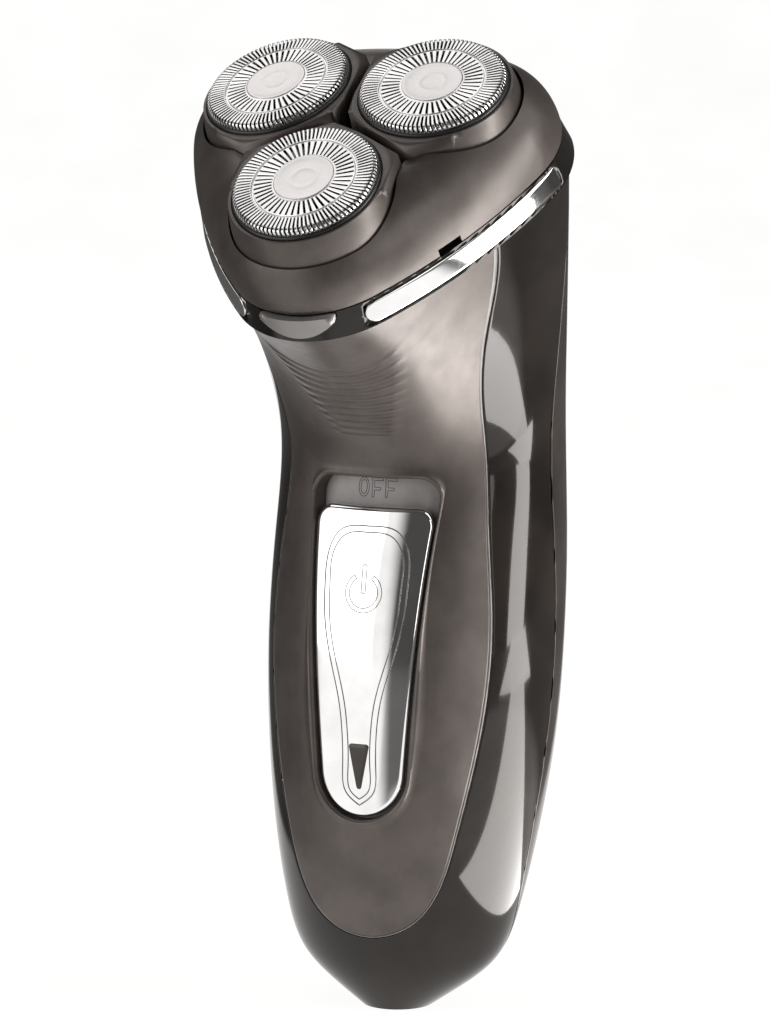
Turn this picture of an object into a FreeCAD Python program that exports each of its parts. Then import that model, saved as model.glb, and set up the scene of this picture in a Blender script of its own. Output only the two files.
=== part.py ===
import FreeCAD, Part
import Sketcher
import os
import re
from math import atan2, cos, degrees, pi, radians, sin, sqrt
from types import SimpleNamespace

from FreeCAD import Placement, Rotation, Vector

# Rotary electric shaver: an upright handle with a tilted shaving unit of three heads.
# Millimetres, +Z up the handle, the switch faces -Y, and the origin is at the mouth of the
# charging socket in the middle of the base.  The shaving unit has a frame of its own, called
# HEAD: its +Z is the normal of the shaving plane and its -Y points to the unit's nose.

X_AXIS, Y_AXIS, Z_AXIS = Vector(1, 0, 0), Vector(0, 1, 0), Vector(0, 0, 1)
HEADS = {"front": -90, "right": 30, "left": 150}     # degrees round the centre of the unit

DIMENSIONS = {
    # handle
    "neck_height": 92.2, "handle_width": 49.8, "handle_depth": 45.3, "shell_wall": 2.0,
    "seam_gap": 0.3, "panel_width": 38.4, "panel_bottom": 13.7, "rear_seam": 10.0,
    # place of the shaving unit
    "head_tilt": 38.0, "head_forward": 21.3, "head_rise": 55.4,
    # shaving heads
    "pod_circle": 15.6, "splay_angle": 4.0, "cap_radius": 11.6, "cap_height": 3.0,
    "cap_wall": 0.4, "rim_width": 0.5, "rim_drop": 1.1, "rim_height": 2.3, "float_gap": 0.12,
    "badge_radius": 4.9, "badge_thick": 0.15,
    "petal_radius": 13.6, "pod_drop": 1.5, "pod_depth": 7.5, "pod_crown": 12.65, "pod_gap": 0.25,
    "channel_half": 0.85, "petal_reach": 15.0, "tip_radius": 0.8,
    # rotary cutters
    "blade_radius": 10.1, "blade_height": 1.9, "blade_count": 15.0, "blade_thick": 0.5,
    "cutter_plate": 0.7, "cutter_gap": 0.12, "hub_radius": 3.3, "hub_length": 6.6,
    "socket_radius": 2.2, "socket_depth": 5.6,
    # head cover and collar
    "corner_radius": 16.2, "corner_circle": 15.0, "rear_corner_circle": 17.0,
    "flank_bow": 67.5, "cover_base": 14.5,
    "cover_wall": 1.8, "joint_gap": 0.25, "collar_height": 4.5, "collar_flare": 0.9,
    "collar_wall": 2.4, "strip_thick": 0.7, "strip_margin": 0.6, "strip_front": 10.0,
    "strip_rear": 6.0, "retainer_drop": 10.8, "retainer_thick": 1.2, "retainer_radius": 20.5,
    "hub_room": 0.9, "stay_circle": 18.6, "stay_radius": 1.5, "notch_width": 4.4, "notch_height": 1.2,
    "knob_radius": 3.6, "knob_height": 3.4, "knob_pin": 1.2,
    # head hinge
    "hinge_back": 1.2, "hinge_drop": 16.4, "knuckle_radius": 1.9, "knuckle_half": 4.6,
    "lug_length": 3.2, "pin_radius": 0.8,
    # release button
    "button_half": 6.3, "button_height": 3.4, "button_travel": 1.2, "button_proud": 0.8,
    "button_gap": 0.2, "latch_half": 3.0,
    # drive
    "spindle_radius": 1.55, "spindle_drop": 6.5, "deck_drop": 17.6, "deck_thick": 1.4,
    "gear_drop": 21.2, "gear_thick": 3.0, "gear_teeth": 38.0, "pinion_teeth": 22.0,
    "mesh_gap": 0.1, "axle_radius": 1.0, "running_gap": 0.05, "plate_drop": 26.0,
    "plate_thick": 1.6, "plate_radius": 18.8, "post_circle": 16.0, "post_radius": 1.9,
    "motor_radius": 10.2, "motor_length": 25.0, "motor_wall": 1.0, "endcap_length": 3.0,
    "shaft_radius": 1.0, "armature_radius": 6.6, "screw_circle": 7.2, "screw_radius": 1.0,
    "screw_head": 1.9,
    # slider
    "slider_top": 84.0, "slider_length": 50.0, "slider_width": 21.2, "tail_width": 15.0,
    "slider_thick": 1.3, "slider_drop": 0.25, "slider_gap": 0.5, "slider_travel": 4.2,
    "recess_depth": 2.5, "tray_thick": 1.2, "tray_lip": 1.4, "corner_round": 3.0,
    "peg_width": 3.0, "peg_end": -1.2, "slot_gap": 0.4, "lens_rise": 9.4,
    # power
    "cell_radius": 7.1, "cell_length": 49.0, "cell_gap": 0.6, "cell_bottom": 26.5,
    "cell_back": 10.5, "tab_thick": 0.3, "board_thick": 1.2, "board_width": 26.0,
    "board_bottom": 20.5, "board_length": 64.0, "board_front": 0.9, "switch_height": 3.0,
    # charging socket
    "mouth_width": 10.0, "mouth_depth": 4.8, "mouth_reach": 8.0, "socket_wall": 0.9,
    "prong_spacing": 6.0, "prong_radius": 0.75, "prong_length": 6.5,
}

doc = FreeCAD.newDocument("rotary_shaver")
sheet = doc.addObject("Spreadsheet::Sheet", "sizes")
for row, (name, amount) in enumerate(DIMENSIONS.items(), 1):
    sheet.set(f"A{row}", name)
    sheet.set(f"B{row}", str(amount))
    sheet.setAlias(f"B{row}", name)
doc.recompute()
size = SimpleNamespace(**{name: float(sheet.get(name)) for name in DIMENSIONS})


# ---- document helpers ------------------------------------------------------------------------
nodes = []


def bound(text):
    """An expression in sheet aliases, as the document's other objects write it."""
    return re.sub(r"\b([a-z]+_[a-z_]+)\b", r"sizes.\1", text)


def value(text):
    """The number that an expression in sheet aliases stands for."""
    return float(sheet.evalExpression(bound(text)))


def node(item, label, place):
    """Keep an object as the sub-part of that name, at that place."""
    item.Label = label
    item.Placement = place
    nodes.append(item)
    return item


def feature(label, shape, place=Placement()):
    """A sub-part whose shape is worked out here from the sheet's values."""
    item = doc.addObject("Part::Feature", label)
    item.Shape = shape
    return node(item, label, place)


def pin_down(sketch, geometry, point, x_text, y_text):
    """Fix a sketch point by two sheet expressions, or on an axis where the text is 0."""
    for kind, axis, text in (("DistanceX", -2, x_text), ("DistanceY", -1, y_text)):
        if text == "0":
            sketch.addConstraint(Sketcher.Constraint("PointOnObject", geometry, point, axis))
            continue
        constraint = Sketcher.Constraint(kind, -1, 1, geometry, point, value(text))
        index = sketch.addConstraint(constraint)
        sketch.setExpression(f"Constraints[{index}]", bound(text))


def draw_corners(sketch, corners):
    """A closed run of straight edges through points given as expressions."""
    spots = [Vector(value(x_text), value(y_text), 0) for x_text, y_text in corners]
    first = sketch.GeometryCount
    count = len(spots)
    for index in range(count):
        sketch.addGeometry(Part.LineSegment(spots[index], spots[(index + 1) % count]), False)
    for index in range(count):
        following = first + (index + 1) % count
        sketch.addConstraint(Sketcher.Constraint("Coincident", first + index, 2, following, 1))
    for index, (x_text, y_text) in enumerate(corners):
        pin_down(sketch, first + index, 1, x_text, y_text)


def draw_circle(sketch, x_text, y_text, radius_text):
    """A circle whose centre and radius are expressions."""
    centre = Vector(value(x_text), value(y_text), 0)
    index = sketch.addGeometry(Part.Circle(centre, Z_AXIS, value(radius_text)), False)
    pin_down(sketch, index, 3, x_text, y_text)
    radius = sketch.addConstraint(Sketcher.Constraint("Radius", index, value(radius_text)))
    sketch.setExpression(f"Constraints[{radius}]", bound(radius_text))


def sketch_on(body, role, name):
    """A sketch on one of the body's own origin planes."""
    sketch = body.newObject("Sketcher::SketchObject", name)
    plane = next(item for item in body.Origin.OriginFeatures if item.Role == role)
    sketch.AttachmentSupport = [(plane, "")]
    sketch.MapMode = "FlatFace"
    return sketch


def turned(label, profile, place=Placement()):
    """A body of revolution round its own Z; the profile is (radius, height) expressions."""
    body = doc.addObject("PartDesign::Body", label)
    sketch = sketch_on(body, "XZ_Plane", label + "_profile")
    draw_corners(sketch, profile)
    turn = body.newObject("PartDesign::Revolution", label + "_turn")
    turn.Profile = sketch
    turn.ReferenceAxis = (sketch, ["V_Axis"])
    turn.Angle = 360
    return node(body, label, place)


def plate(label, corners, holes, thickness, place=Placement(), rim=None):
    """A padded plate: corners or a rim radius outside, round holes, all as expressions."""
    body = doc.addObject("PartDesign::Body", label)
    sketch = sketch_on(body, "XY_Plane", label + "_outline")
    if rim:
        draw_circle(sketch, "0", "0", rim)
    else:
        draw_corners(sketch, corners)
    for hole in holes:
        draw_circle(sketch, *hole)
    pad = body.newObject("PartDesign::Pad", label + "_pad")
    pad.Profile = sketch
    pad.setExpression("Length", bound(thickness))
    return node(body, label, place)


def group(label, items, place=Placement()):
    """Several separate solids in one sub-part."""
    bundle = doc.addObject("Part::Compound", label)
    bundle.Links = items
    return node(bundle, label, place)


def rod(name, radius, height, base, axis=Z_AXIS):
    """A cylinder bound to the sheet, from a base point along an axis."""
    item = doc.addObject("Part::Cylinder", name)
    item.setExpression("Radius", bound(radius))
    item.setExpression("Height", bound(height))
    item.Placement = Placement(base, Rotation(Z_AXIS, axis))
    return item


def block(name, length, width, height, corner):
    """A box bound to the sheet, from its lowest corner."""
    item = doc.addObject("Part::Box", name)
    for side, text in (("Length", length), ("Width", width), ("Height", height)):
        item.setExpression(side, bound(text))
    item.Placement = Placement(corner, Rotation())
    return item


# ---- outlines --------------------------------------------------------------------------------
def in_plan(x, y):
    return Vector(x, y, 0)


def in_front(x, z):
    return Vector(x, 0, z)


def round_hull(circles, spot=in_plan):
    """The taut outline round circles (x, y, radius), listed anticlockwise, as a wire."""
    normals = []
    for here, there in zip(circles, circles[1:] + circles[:1]):
        run = Vector(there[0] - here[0], there[1] - here[1], 0)
        lean = (here[2] - there[2]) / run.Length
        run.normalize()
        aside = Vector(run.y, -run.x, 0)
        normals.append(run * lean + aside * sqrt(1 - lean * lean))
    edges = []
    for index, (x, y, radius) in enumerate(circles):
        before, after = normals[index - 1], normals[index]
        first, last = atan2(before.y, before.x), atan2(after.y, after.x)
        half_turn = (first + last + (2 * pi if last < first else 0)) / 2
        middle = Vector(cos(half_turn), sin(half_turn), 0)
        start, halfway, end = (spot(x + radius * way.x, y + radius * way.y)
                               for way in (before, middle, after))
        edges.append(Part.Arc(start, halfway, end).toShape())
        far = circles[(index + 1) % len(circles)]
        edges.append(Part.LineSegment(end, spot(far[0] + far[2] * after.x,
                                                far[1] + far[2] * after.y)).toShape())
    return Part.Wire(edges)


def trefoil_arcs():
    """The unit's three-cornered outline, anticlockwise: (centre, radius, first and last angle)."""
    rear_x = size.rear_corner_circle * cos(radians(30))
    rear_y = size.rear_corner_circle * sin(radians(30))
    corners = [Vector(0, -size.corner_circle, 0), Vector(rear_x, rear_y, 0),
               Vector(-rear_x, rear_y, 0)]
    flanks = []
    for here, there in zip(corners, corners[1:] + corners[:1]):
        run = (there - here).normalize()
        centre = (here + there) * 0.5 - Vector(run.y, -run.x, 0) * size.flank_bow
        radius = size.corner_radius + (here - centre).Length
        angles = [degrees(atan2((spot - centre).y, (spot - centre).x)) for spot in (here, there)]
        flanks.append((centre, radius, angles[0], angles[0] + (angles[1] - angles[0]) % 360))
    arcs = []
    for index, flank in enumerate(flanks):
        before = flanks[index - 1]
        start = flank[2] - (flank[2] - before[3]) % 360
        arcs.append((corners[index], size.corner_radius, start, flank[2]))
        arcs.append(flank)
    return arcs


def arc_point(arc, angle, grown, height):
    """A point of one arc of the outline, grown outward, at a height."""
    centre, radius = arc[:2]
    return Vector(centre.x + (radius + grown) * cos(radians(angle)),
                  centre.y + (radius + grown) * sin(radians(angle)), height)


def trefoil_point(angle):
    """The point of the unit's three-cornered outline whose normal has that angle in degrees."""
    arc = next(arc for arc in trefoil_arcs() if (angle - arc[2]) % 360 <= arc[3] - arc[2] + 1e-9)
    return arc_point(arc, angle, 0.0, 0.0)


def trefoil_wire(height, grown=0.0):
    """The three-cornered outline, grown outward, at a height in the head's frame."""
    edges = []
    for arc in trefoil_arcs():
        ends = [arc_point(arc, angle, grown, height)
                for angle in (arc[2], (arc[2] + arc[3]) / 2, arc[3])]
        edges.append(Part.Arc(*ends).toShape())
    return Part.Wire(edges)


def prism(wire, reach):
    """A solid swept from a flat wire along a vector."""
    return Part.Face(wire).extrude(reach)


def trefoil_stack(levels):
    """A solid through trefoils given as (height, growth)."""
    return Part.makeLoft([trefoil_wire(height, grown) for height, grown in levels], True)


# ---- places ----------------------------------------------------------------------------------
head_height = size.neck_height + size.head_rise
HEAD = Placement(Vector(0, -size.head_forward, head_height), Rotation(X_AXIS, size.head_tilt))
hub_depth = size.spindle_drop + 1.6
spindle_circle = size.pod_circle - hub_depth * sin(radians(size.splay_angle))
collar_base = -size.cover_base - size.collar_height
flank_reach = trefoil_point(90).y
half_reach = trefoil_point(0).x
nose_reach = size.corner_circle + size.corner_radius


def head_spot(x, y, z):
    """A point of the head's frame, in the shaver's frame."""
    return HEAD.multVec(Vector(x, y, z))


def pod_frame(angle):
    """One shaving head's frame in the unit's: centre of its cap, +Z out, +X away from the middle."""
    outward = Placement(Vector(size.pod_circle, 0, 0), Rotation(Y_AXIS, size.splay_angle))
    return Placement(Vector(), Rotation(Z_AXIS, angle)) * outward


def pod_place(angle):
    """The frame of one shaving head in the shaver's frame."""
    return HEAD * pod_frame(angle)


def ring_place(angle, radius, height=0.0, turn=0.0):
    """A place on a circle about the head's axis."""
    spot = Vector(radius * cos(radians(angle)), radius * sin(radians(angle)), height)
    return HEAD * Placement(spot, Rotation(Z_AXIS, turn))


# ---- the handle's skin -----------------------------------------------------------------------
# rows up to the neck: height, front and back edge and half width, as shares of the neck's
# height, the handle's depth and the handle's width
LOWER_ROWS = (
    (0.000, -0.080, 0.190, 0.120), (0.035, -0.128, 0.255, 0.215), (0.088, -0.185, 0.345, 0.330),
    (0.184, -0.245, 0.450, 0.402), (0.327, -0.286, 0.560, 0.452), (0.490, -0.297, 0.660, 0.487),
    (0.674, -0.283, 0.722, 0.500), (0.847, -0.222, 0.742, 0.494),
)
NECK_FRONT, NECK_BACK, NECK_HALF, NECK_LEAN = -0.185, 0.732, 0.484, 10.0
HALF_BEND = 25.0            # pulls the half width of the throat between neck and collar


def bezier(start, bend, end, share):
    """A point of the curve from start to end that is drawn towards the bend."""
    return start * (1 - share) ** 2 + bend * 2 * share * (1 - share) + end * share ** 2


def skin_rows(wall):
    """Front point, back point, half width and three-cornered share of each section."""
    rows = []
    for height, front, back, half in LOWER_ROWS:
        z = height * size.neck_height
        rows.append([Vector(0, front * size.handle_depth, z), Vector(0, back * size.handle_depth, z),
                     half * size.handle_width, 0.0])
    rows[0][0].z = rows[0][1].z = wall
    front_start = Vector(0, NECK_FRONT * size.handle_depth, size.neck_height)
    back_start = Vector(0, NECK_BACK * size.handle_depth, size.neck_height + NECK_LEAN)
    front_end = head_spot(0, -nose_reach - size.collar_flare + size.button_gap, collar_base)
    back_end = head_spot(0, flank_reach + size.collar_flare - size.button_gap, collar_base)
    front_bend = Vector(0, front_start.y * 1.85, front_end.z - 7.0)
    back_bend = Vector(0, back_start.y * 0.95, size.neck_height + 34)
    for share in (0.0, 0.25, 0.5, 0.75, 1.0):
        front = bezier(front_start, front_bend, front_end, share)
        back = bezier(back_start, back_bend, back_end, share)
        half = bezier(NECK_HALF * size.handle_width, HALF_BEND, half_reach, share)
        rows.append([front, back, half, share ** 1.3])
    for row in rows:
        across = (row[1] - row[0]).normalize()
        row[0] = row[0] + across * wall
        row[1] = row[1] - across * wall
        row[2] -= wall
    return rows


def skin_section(front, back, half, share):
    """A smooth closed curve: an ellipse that turns three-cornered with the share."""
    across = (back - front).normalize()
    middle = (front + back) * 0.5
    depth = (back - front).Length / 2
    tri_depth = (nose_reach + flank_reach) / 2
    spots = []
    for step in range(24):
        angle = 15.0 * step - 90
        way_x, way_y = cos(radians(angle)), sin(radians(angle))
        spread = sqrt((half * way_x) ** 2 + (depth * way_y) ** 2)
        oval_x, oval_y = half * half * way_x / spread, depth * depth * way_y / spread
        tri = trefoil_point(angle)
        tri_x = tri.x * half / half_reach
        tri_y = (tri.y + (nose_reach - flank_reach) / 2) * depth / tri_depth
        spots.append(middle + X_AXIS * (oval_x + (tri_x - oval_x) * share)
                     + across * (oval_y + (tri_y - oval_y) * share))
    curve = Part.BSplineCurve()
    curve.interpolate(Points=spots, PeriodicFlag=True)
    return Part.Wire(curve.toShape())


def skin(wall):
    """The solid inside the handle's surface, drawn in by a wall."""
    return Part.makeLoft([skin_section(*row) for row in skin_rows(wall)], True)


# ---- handle shells ---------------------------------------------------------------------------
def panel_prism(grown):
    """What lies inside the front panel's seam, seen from the front, grown by a gap."""
    half = size.panel_width / 2
    rise = head_height - 147.6
    rows = ((25.8, 148.0 + rise), (25.0, 129.0 + rise), (19.4, 110.0 + rise),
            (half * 0.895, size.neck_height + 3), (half, size.neck_height * 0.7),
            (half * 0.765, size.panel_bottom + 17), (half * 0.40, size.panel_bottom + 2.6))
    right = [in_front(x + grown, z - grown * 0.5) for x, z in rows]
    left = [in_front(-spot.x, spot.z) for spot in reversed(right)]
    curve = Part.BSplineCurve()
    curve.interpolate(Points=right + [in_front(0, size.panel_bottom - grown)] + left)
    top = Part.LineSegment(left[-1], right[0])
    return Part.Face(Part.Wire([curve.toShape(), top.toShape()])).extrude(Vector(0, -80, 0))


def rear_prism(shift):
    """What lies behind the rear seam, seen from the side, moved back by a shift."""
    seam = size.rear_seam
    rows = ((8.0, -2.0), (seam - 4.2, 16.0), (seam - 4.0, 30.0), (seam - 0.5, 58.0), (seam, 80.0),
            (seam, 104.0), (seam - 2.0, 124.0), (seam - 7.0, 142.0), (seam - 14.0, 160.0))
    scale = size.neck_height / 92.2
    front = [Vector(-80, y + shift, z * scale) for y, z in rows]
    curve = Part.BSplineCurve()
    curve.interpolate(Points=front)
    corners = [front[-1], Vector(-80, 90, front[-1].z), Vector(-80, 90, front[0].z), front[0]]
    back = [Part.LineSegment(here, there).toShape() for here, there in zip(corners, corners[1:])]
    return Part.Face(Part.Wire([curve.toShape()] + back)).extrude(Vector(160, 0, 0))


def slider_outline(grown, extra_top=0.0):
    """The slider's outline seen from the front: a round tail and two top corners."""
    tail = size.tail_width / 2
    corner = size.corner_round
    side = size.slider_width / 2 - corner
    top = size.slider_top + extra_top - corner
    tail_z = size.slider_top - size.slider_length + tail
    return round_hull([(0, tail_z, tail + grown), (side, top, corner + grown),
                       (-side, top, corner + grown)], in_front)


def forward(wire):
    """A prism from a front outline towards the front."""
    return prism(wire, Vector(0, -80, 0))


outer_skin = skin(0.0)
inner_skin = skin(size.shell_wall)
shell = outer_skin.cut(inner_skin)
recess = forward(slider_outline(size.slider_gap, size.slider_travel))


def stadium(width, depth, base, height):
    """A round-ended bar standing on a level, lying along X."""
    radius = depth / 2
    side = width / 2 - radius
    outline = round_hull([(-side, 0, radius), (side, 0, radius)])
    outline.translate(Vector(0, 0, base))
    return prism(outline, Vector(0, 0, height))


socket_width = size.mouth_width + 2 * size.socket_wall
socket_depth = size.mouth_depth + 2 * size.socket_wall
socket_height = size.mouth_reach + size.socket_wall
socket_clear = stadium(socket_width + 0.2, socket_depth + 0.2, -1, socket_height)

feature("front_panel", shell.common(panel_prism(0.0)).cut(recess))
feature("side_frame", shell.cut(panel_prism(size.seam_gap)).cut(rear_prism(-size.seam_gap))
        .cut(socket_clear))
feature("rear_cover", shell.common(rear_prism(0.0)).cut(socket_clear))
seal = skin(0.12).common(panel_prism(size.seam_gap - 0.03)).cut(skin(1.0))
feature("panel_seal", seal.cut(panel_prism(0.03)))

# ---- slider, its tray and its window ---------------------------------------------------------
tray_outline = slider_outline(size.slider_gap + size.tray_lip, size.slider_travel)
tray_blank = skin(size.shell_wall + 0.05).common(forward(tray_outline))
tray_blank = tray_blank.cut(skin(size.recess_depth + size.tray_thick))
tray_well = recess.cut(skin(size.recess_depth))
peg_z = size.slider_top - size.slider_length * 0.48
peg_half = size.peg_width / 2
slot_half = peg_half + size.slot_gap
peg_slot = Part.makeBox(2 * slot_half, 60, 2 * slot_half + size.slider_travel,
                        Vector(-slot_half, -60, peg_z - slot_half))
lens_z = size.slider_top - size.slider_length + size.lens_rise
lens_hole = Part.makeCylinder(1.9, 60, Vector(0, 0, lens_z), Vector(0, -1, 0))
feature("switch_tray", tray_blank.cut(tray_well).cut(peg_slot).cut(lens_hole))


def window_outline(grown):
    """The indicator window: a narrow wedge, wide end up."""
    return round_hull([(0, lens_z - 4.3, 0.7 + grown), (1.2, lens_z + 2.4, 0.6 + grown),
                       (-1.2, lens_z + 2.4, 0.6 + grown)], in_front)


slider_face = skin(size.slider_drop)
slider_back = skin(size.slider_drop + size.slider_thick)
plate_solid = slider_face.common(forward(slider_outline(0.0))).cut(slider_back)
peg_face = -0.28 * size.handle_depth
peg = Part.makeBox(size.peg_width, size.peg_end - peg_face, size.peg_width,
                   Vector(-peg_half, peg_face, peg_z - peg_half))
peg = peg.common(skin(size.slider_drop + 0.4))
feature("power_slider", plate_solid.fuse(peg).cut(forward(window_outline(0.03))))
feature("slider_window", slider_face.common(forward(window_outline(0.0))).cut(slider_back))

# ---- power -----------------------------------------------------------------------------------
board_y = size.board_front
plate("circuit_board",
      [("-board_width/2", "0"), ("board_width/2", "0"), ("board_width/2", "board_length"),
       ("-board_width/2", "board_length")],
      [("-board_width/2+2.5", "2.5", "1.1"), ("board_width/2-2.5", "2.5", "1.1")], "board_thick",
      Placement(Vector(0, board_y + size.board_thick, size.board_bottom), Rotation(X_AXIS, 90)))
switch_body = Part.makeBox(7, size.switch_height, 15, Vector(-3.5, board_y - size.switch_height,
                                                            peg_z - 5.4))
switch_slot = Part.makeBox(2 * slot_half, 1.9, 2 * slot_half + size.slider_travel,
                           Vector(-slot_half, board_y - size.switch_height - 0.2,
                                  peg_z - slot_half))
feature("slide_switch", switch_body.cut(switch_slot))
turned("charge_led", [("0", "0"), ("1.5", "0"), ("1.5", "1.6"), ("1.0", "2.6"), ("0", "2.6")],
       Placement(Vector(0, board_y, lens_z), Rotation(X_AXIS, 90)))
for side, name in ((-1, "battery_left"), (1, "battery_right")):
    cell_x = side * (size.cell_radius + size.cell_gap / 2)
    turned(name, [("0", "0"), ("cell_radius-0.5", "0"), ("cell_radius", "0.5"),
                  ("cell_radius", "cell_length-1.7"), ("cell_radius-0.5", "cell_length-1.2"),
                  ("2.6", "cell_length-1.2"), ("2.6", "cell_length"), ("0", "cell_length")],
           Placement(Vector(cell_x, size.cell_back, size.cell_bottom), Rotation()))
tab_span = "4*cell_radius+cell_gap-9"
tab_x = -(4 * size.cell_radius + size.cell_gap - 9) / 2
lower_tab = block("lower_tab", tab_span, "5", "tab_thick",
                  Vector(tab_x, size.cell_back - 2.5, size.cell_bottom - size.tab_thick))
upper_tabs = [block("upper_tab", "5", "5", "tab_thick",
                    Vector(side * (size.cell_radius + size.cell_gap / 2) - 2.5,
                           size.cell_back - 2.5, size.cell_bottom + size.cell_length))
              for side in (-1, 1)]
group("battery_tabs", [lower_tab] + upper_tabs)

# ---- charging socket -------------------------------------------------------------------------
housing = stadium(socket_width, socket_depth, 0, socket_height).common(outer_skin)
feature("charging_socket", housing.cut(stadium(size.mouth_width, size.mouth_depth, -1,
                                               size.mouth_reach + 1)))
group("charging_prongs", [rod("prong", "prong_radius", "prong_length",
                              Vector(side * size.prong_spacing / 2, 0,
                                     size.mouth_reach - size.prong_length))
                          for side in (-1, 1)])


# ---- collar and chamber ----------------------------------------------------------------------
def flare(height):
    """How far the collar stands out at a height in the head's frame."""
    return size.collar_flare * (-size.cover_base - height) / size.collar_height


def collar_band(low, high, grown):
    return trefoil_stack([(low, flare(low) + grown), (high, flare(high) + grown)])


button_top = -size.cover_base - 0.25
button_low = button_top - size.button_height


def half_moon(grown):
    """The release button's outline: a flat top and a round bottom."""
    half, shoulder = size.button_half + grown, button_top - 0.9
    top, low = button_top + grown, button_low - grown
    corners = [in_front(-half, shoulder), in_front(half, shoulder), in_front(half, top),
               in_front(-half, top)]
    bottom = Part.Arc(corners[0], in_front(0, low), corners[1])
    sides = [Part.LineSegment(corners[index], corners[(index + 1) % 4]) for index in (1, 2, 3)]
    return prism(Part.Wire([edge.toShape() for edge in [bottom] + sides]), Vector(0, -80, 0))


strip_low = collar_base + size.strip_margin
strip_high = -size.cover_base - size.strip_margin
strip_zone = Part.makeBox(60, 60 + size.strip_rear, 30, Vector(size.strip_front, -60, -30))
strip_zone = strip_zone.fuse(strip_zone.mirror(Vector(), X_AXIS))
strip_ring = collar_band(strip_low, strip_high, 0.12).cut(
    collar_band(strip_low - 1, strip_high + 1, 0.12 - size.strip_thick))
strips = strip_ring.common(strip_zone)
pocket_ring = collar_band(strip_low - 0.04, strip_high + 0.04, 1).cut(
    collar_band(strip_low - 1, strip_high + 1, 0.08 - size.strip_thick))
pocket_zone = Part.makeBox(60, 60 + size.strip_rear + 0.04, 30,
                           Vector(size.strip_front - 0.04, -60, -30))
pocket_zone = pocket_zone.fuse(pocket_zone.mirror(Vector(), X_AXIS))

pin_y = flank_reach + size.hinge_back
pin_z = -size.hinge_drop
knuckle_gap = 0.3
lug_start = size.knuckle_half + knuckle_gap
pin_bore = Part.makeCylinder(size.pin_radius + size.running_gap, 60, Vector(-30, pin_y, pin_z),
                             X_AXIS)
ring = collar_band(collar_base, -size.cover_base, 0.0)
ring = ring.cut(trefoil_stack([(collar_base - 1, -size.collar_wall),
                               (-size.cover_base + 1, -size.collar_wall)]))
ring = ring.cut(Part.makeBox(2 * lug_start, 9, 8, Vector(-lug_start, pin_y - 4.2, pin_z - 2.2)))
for side in (-1, 1):
    start = lug_start if side > 0 else -lug_start - size.lug_length
    lug = Part.makeCylinder(size.knuckle_radius, size.lug_length, Vector(start, pin_y, pin_z), X_AXIS)
    web = Part.makeBox(size.lug_length, size.hinge_back + 2, 2 * size.knuckle_radius - 0.2,
                       Vector(start, pin_y - size.hinge_back - 2, pin_z - size.knuckle_radius))
    ring = ring.fuse(lug).fuse(web)
ring = ring.cut(pin_bore).cut(pocket_ring.common(pocket_zone)).cut(half_moon(size.button_gap))
feature("collar", ring, HEAD)
feature("collar_strips", strips, HEAD)
pin_length = 2 * (lug_start + size.lug_length)
pin_item = doc.addObject("Part::Cylinder", "hinge_pin")
pin_item.setExpression("Radius", bound("pin_radius"))
pin_item.setExpression("Height", bound(f"2*(knuckle_half+lug_length+{knuckle_gap})"))
node(pin_item, "hinge_pin", HEAD * Placement(Vector(-pin_length / 2, pin_y, pin_z),
                                             Rotation(Z_AXIS, X_AXIS)))
button_solid = half_moon(0.0).common(trefoil_stack([(collar_base - 1, size.button_proud + 0.5),
                                                    (-size.cover_base + 1, size.button_proud)]))
button_inner = nose_reach - size.collar_wall + size.button_travel
button_solid = button_solid.cut(Part.makeBox(60, 60, 30, Vector(-30, -button_inner, -30)))
feature("release_button", button_solid, HEAD)

deck = prism(trefoil_wire(-size.deck_drop - size.deck_thick, -size.collar_wall - 0.03),
             Vector(0, 0, size.deck_thick))
for angle in HEADS.values():
    way = radians(angle)
    spot = Vector(spindle_circle * cos(way), spindle_circle * sin(way), -25)
    deck = deck.cut(Part.makeCylinder(size.spindle_radius + size.running_gap, 10, spot))
feature("chamber_deck", deck, HEAD)

# ---- drive -----------------------------------------------------------------------------------
gear_module = 2 * (spindle_circle - size.mesh_gap) / (size.gear_teeth + size.pinion_teeth)


def toothed(teeth, bore):
    """A spur gear standing on z = 0: slim straight-sided teeth and a round bore."""
    pitch = gear_module * teeth / 2
    step = 360.0 / teeth
    rim = []
    for tooth in range(int(teeth)):
        for radius, share in ((pitch - 1.25 * gear_module, -0.30), (pitch, -0.21),
                              (pitch + 0.85 * gear_module, -0.09),
                              (pitch + 0.85 * gear_module, 0.09), (pitch, 0.21),
                              (pitch - 1.25 * gear_module, 0.30)):
            way = radians((tooth + share) * step)
            rim.append(Vector(radius * cos(way), radius * sin(way), 0))
    blank = Part.Face(Part.makePolygon(rim + rim[:1])).extrude(Vector(0, 0, size.gear_thick))
    return blank.cut(Part.makeCylinder(bore, size.gear_thick))


gear_base = -size.gear_drop - size.gear_thick
feature("motor_pinion", toothed(size.pinion_teeth, size.shaft_radius),
        HEAD * Placement(Vector(0, 0, gear_base), Rotation()))
tooth_step = 360.0 / size.pinion_teeth
for head, angle in HEADS.items():
    lead = round(angle / tooth_step) * tooth_step - angle
    turn = angle + 180 - lead * size.pinion_teeth / size.gear_teeth - 180.0 / size.gear_teeth
    feature(f"drive_gear_{head}", toothed(size.gear_teeth, size.axle_radius + size.running_gap),
            ring_place(angle, spindle_circle, gear_base, turn))
    turned(f"spindle_{head}",
           [("0", "0"), ("3.2", "0"), ("3.2", "0.8"), ("spindle_radius", "1.6"),
            ("spindle_radius", "gear_drop-spindle_drop-1.2"),
            ("spindle_radius-0.5", "gear_drop-spindle_drop"), ("0", "gear_drop-spindle_drop")],
           ring_place(angle, spindle_circle, -size.gear_drop))
plate_base = -size.plate_drop - size.plate_thick
circle_text = f"{spindle_circle}"
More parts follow.
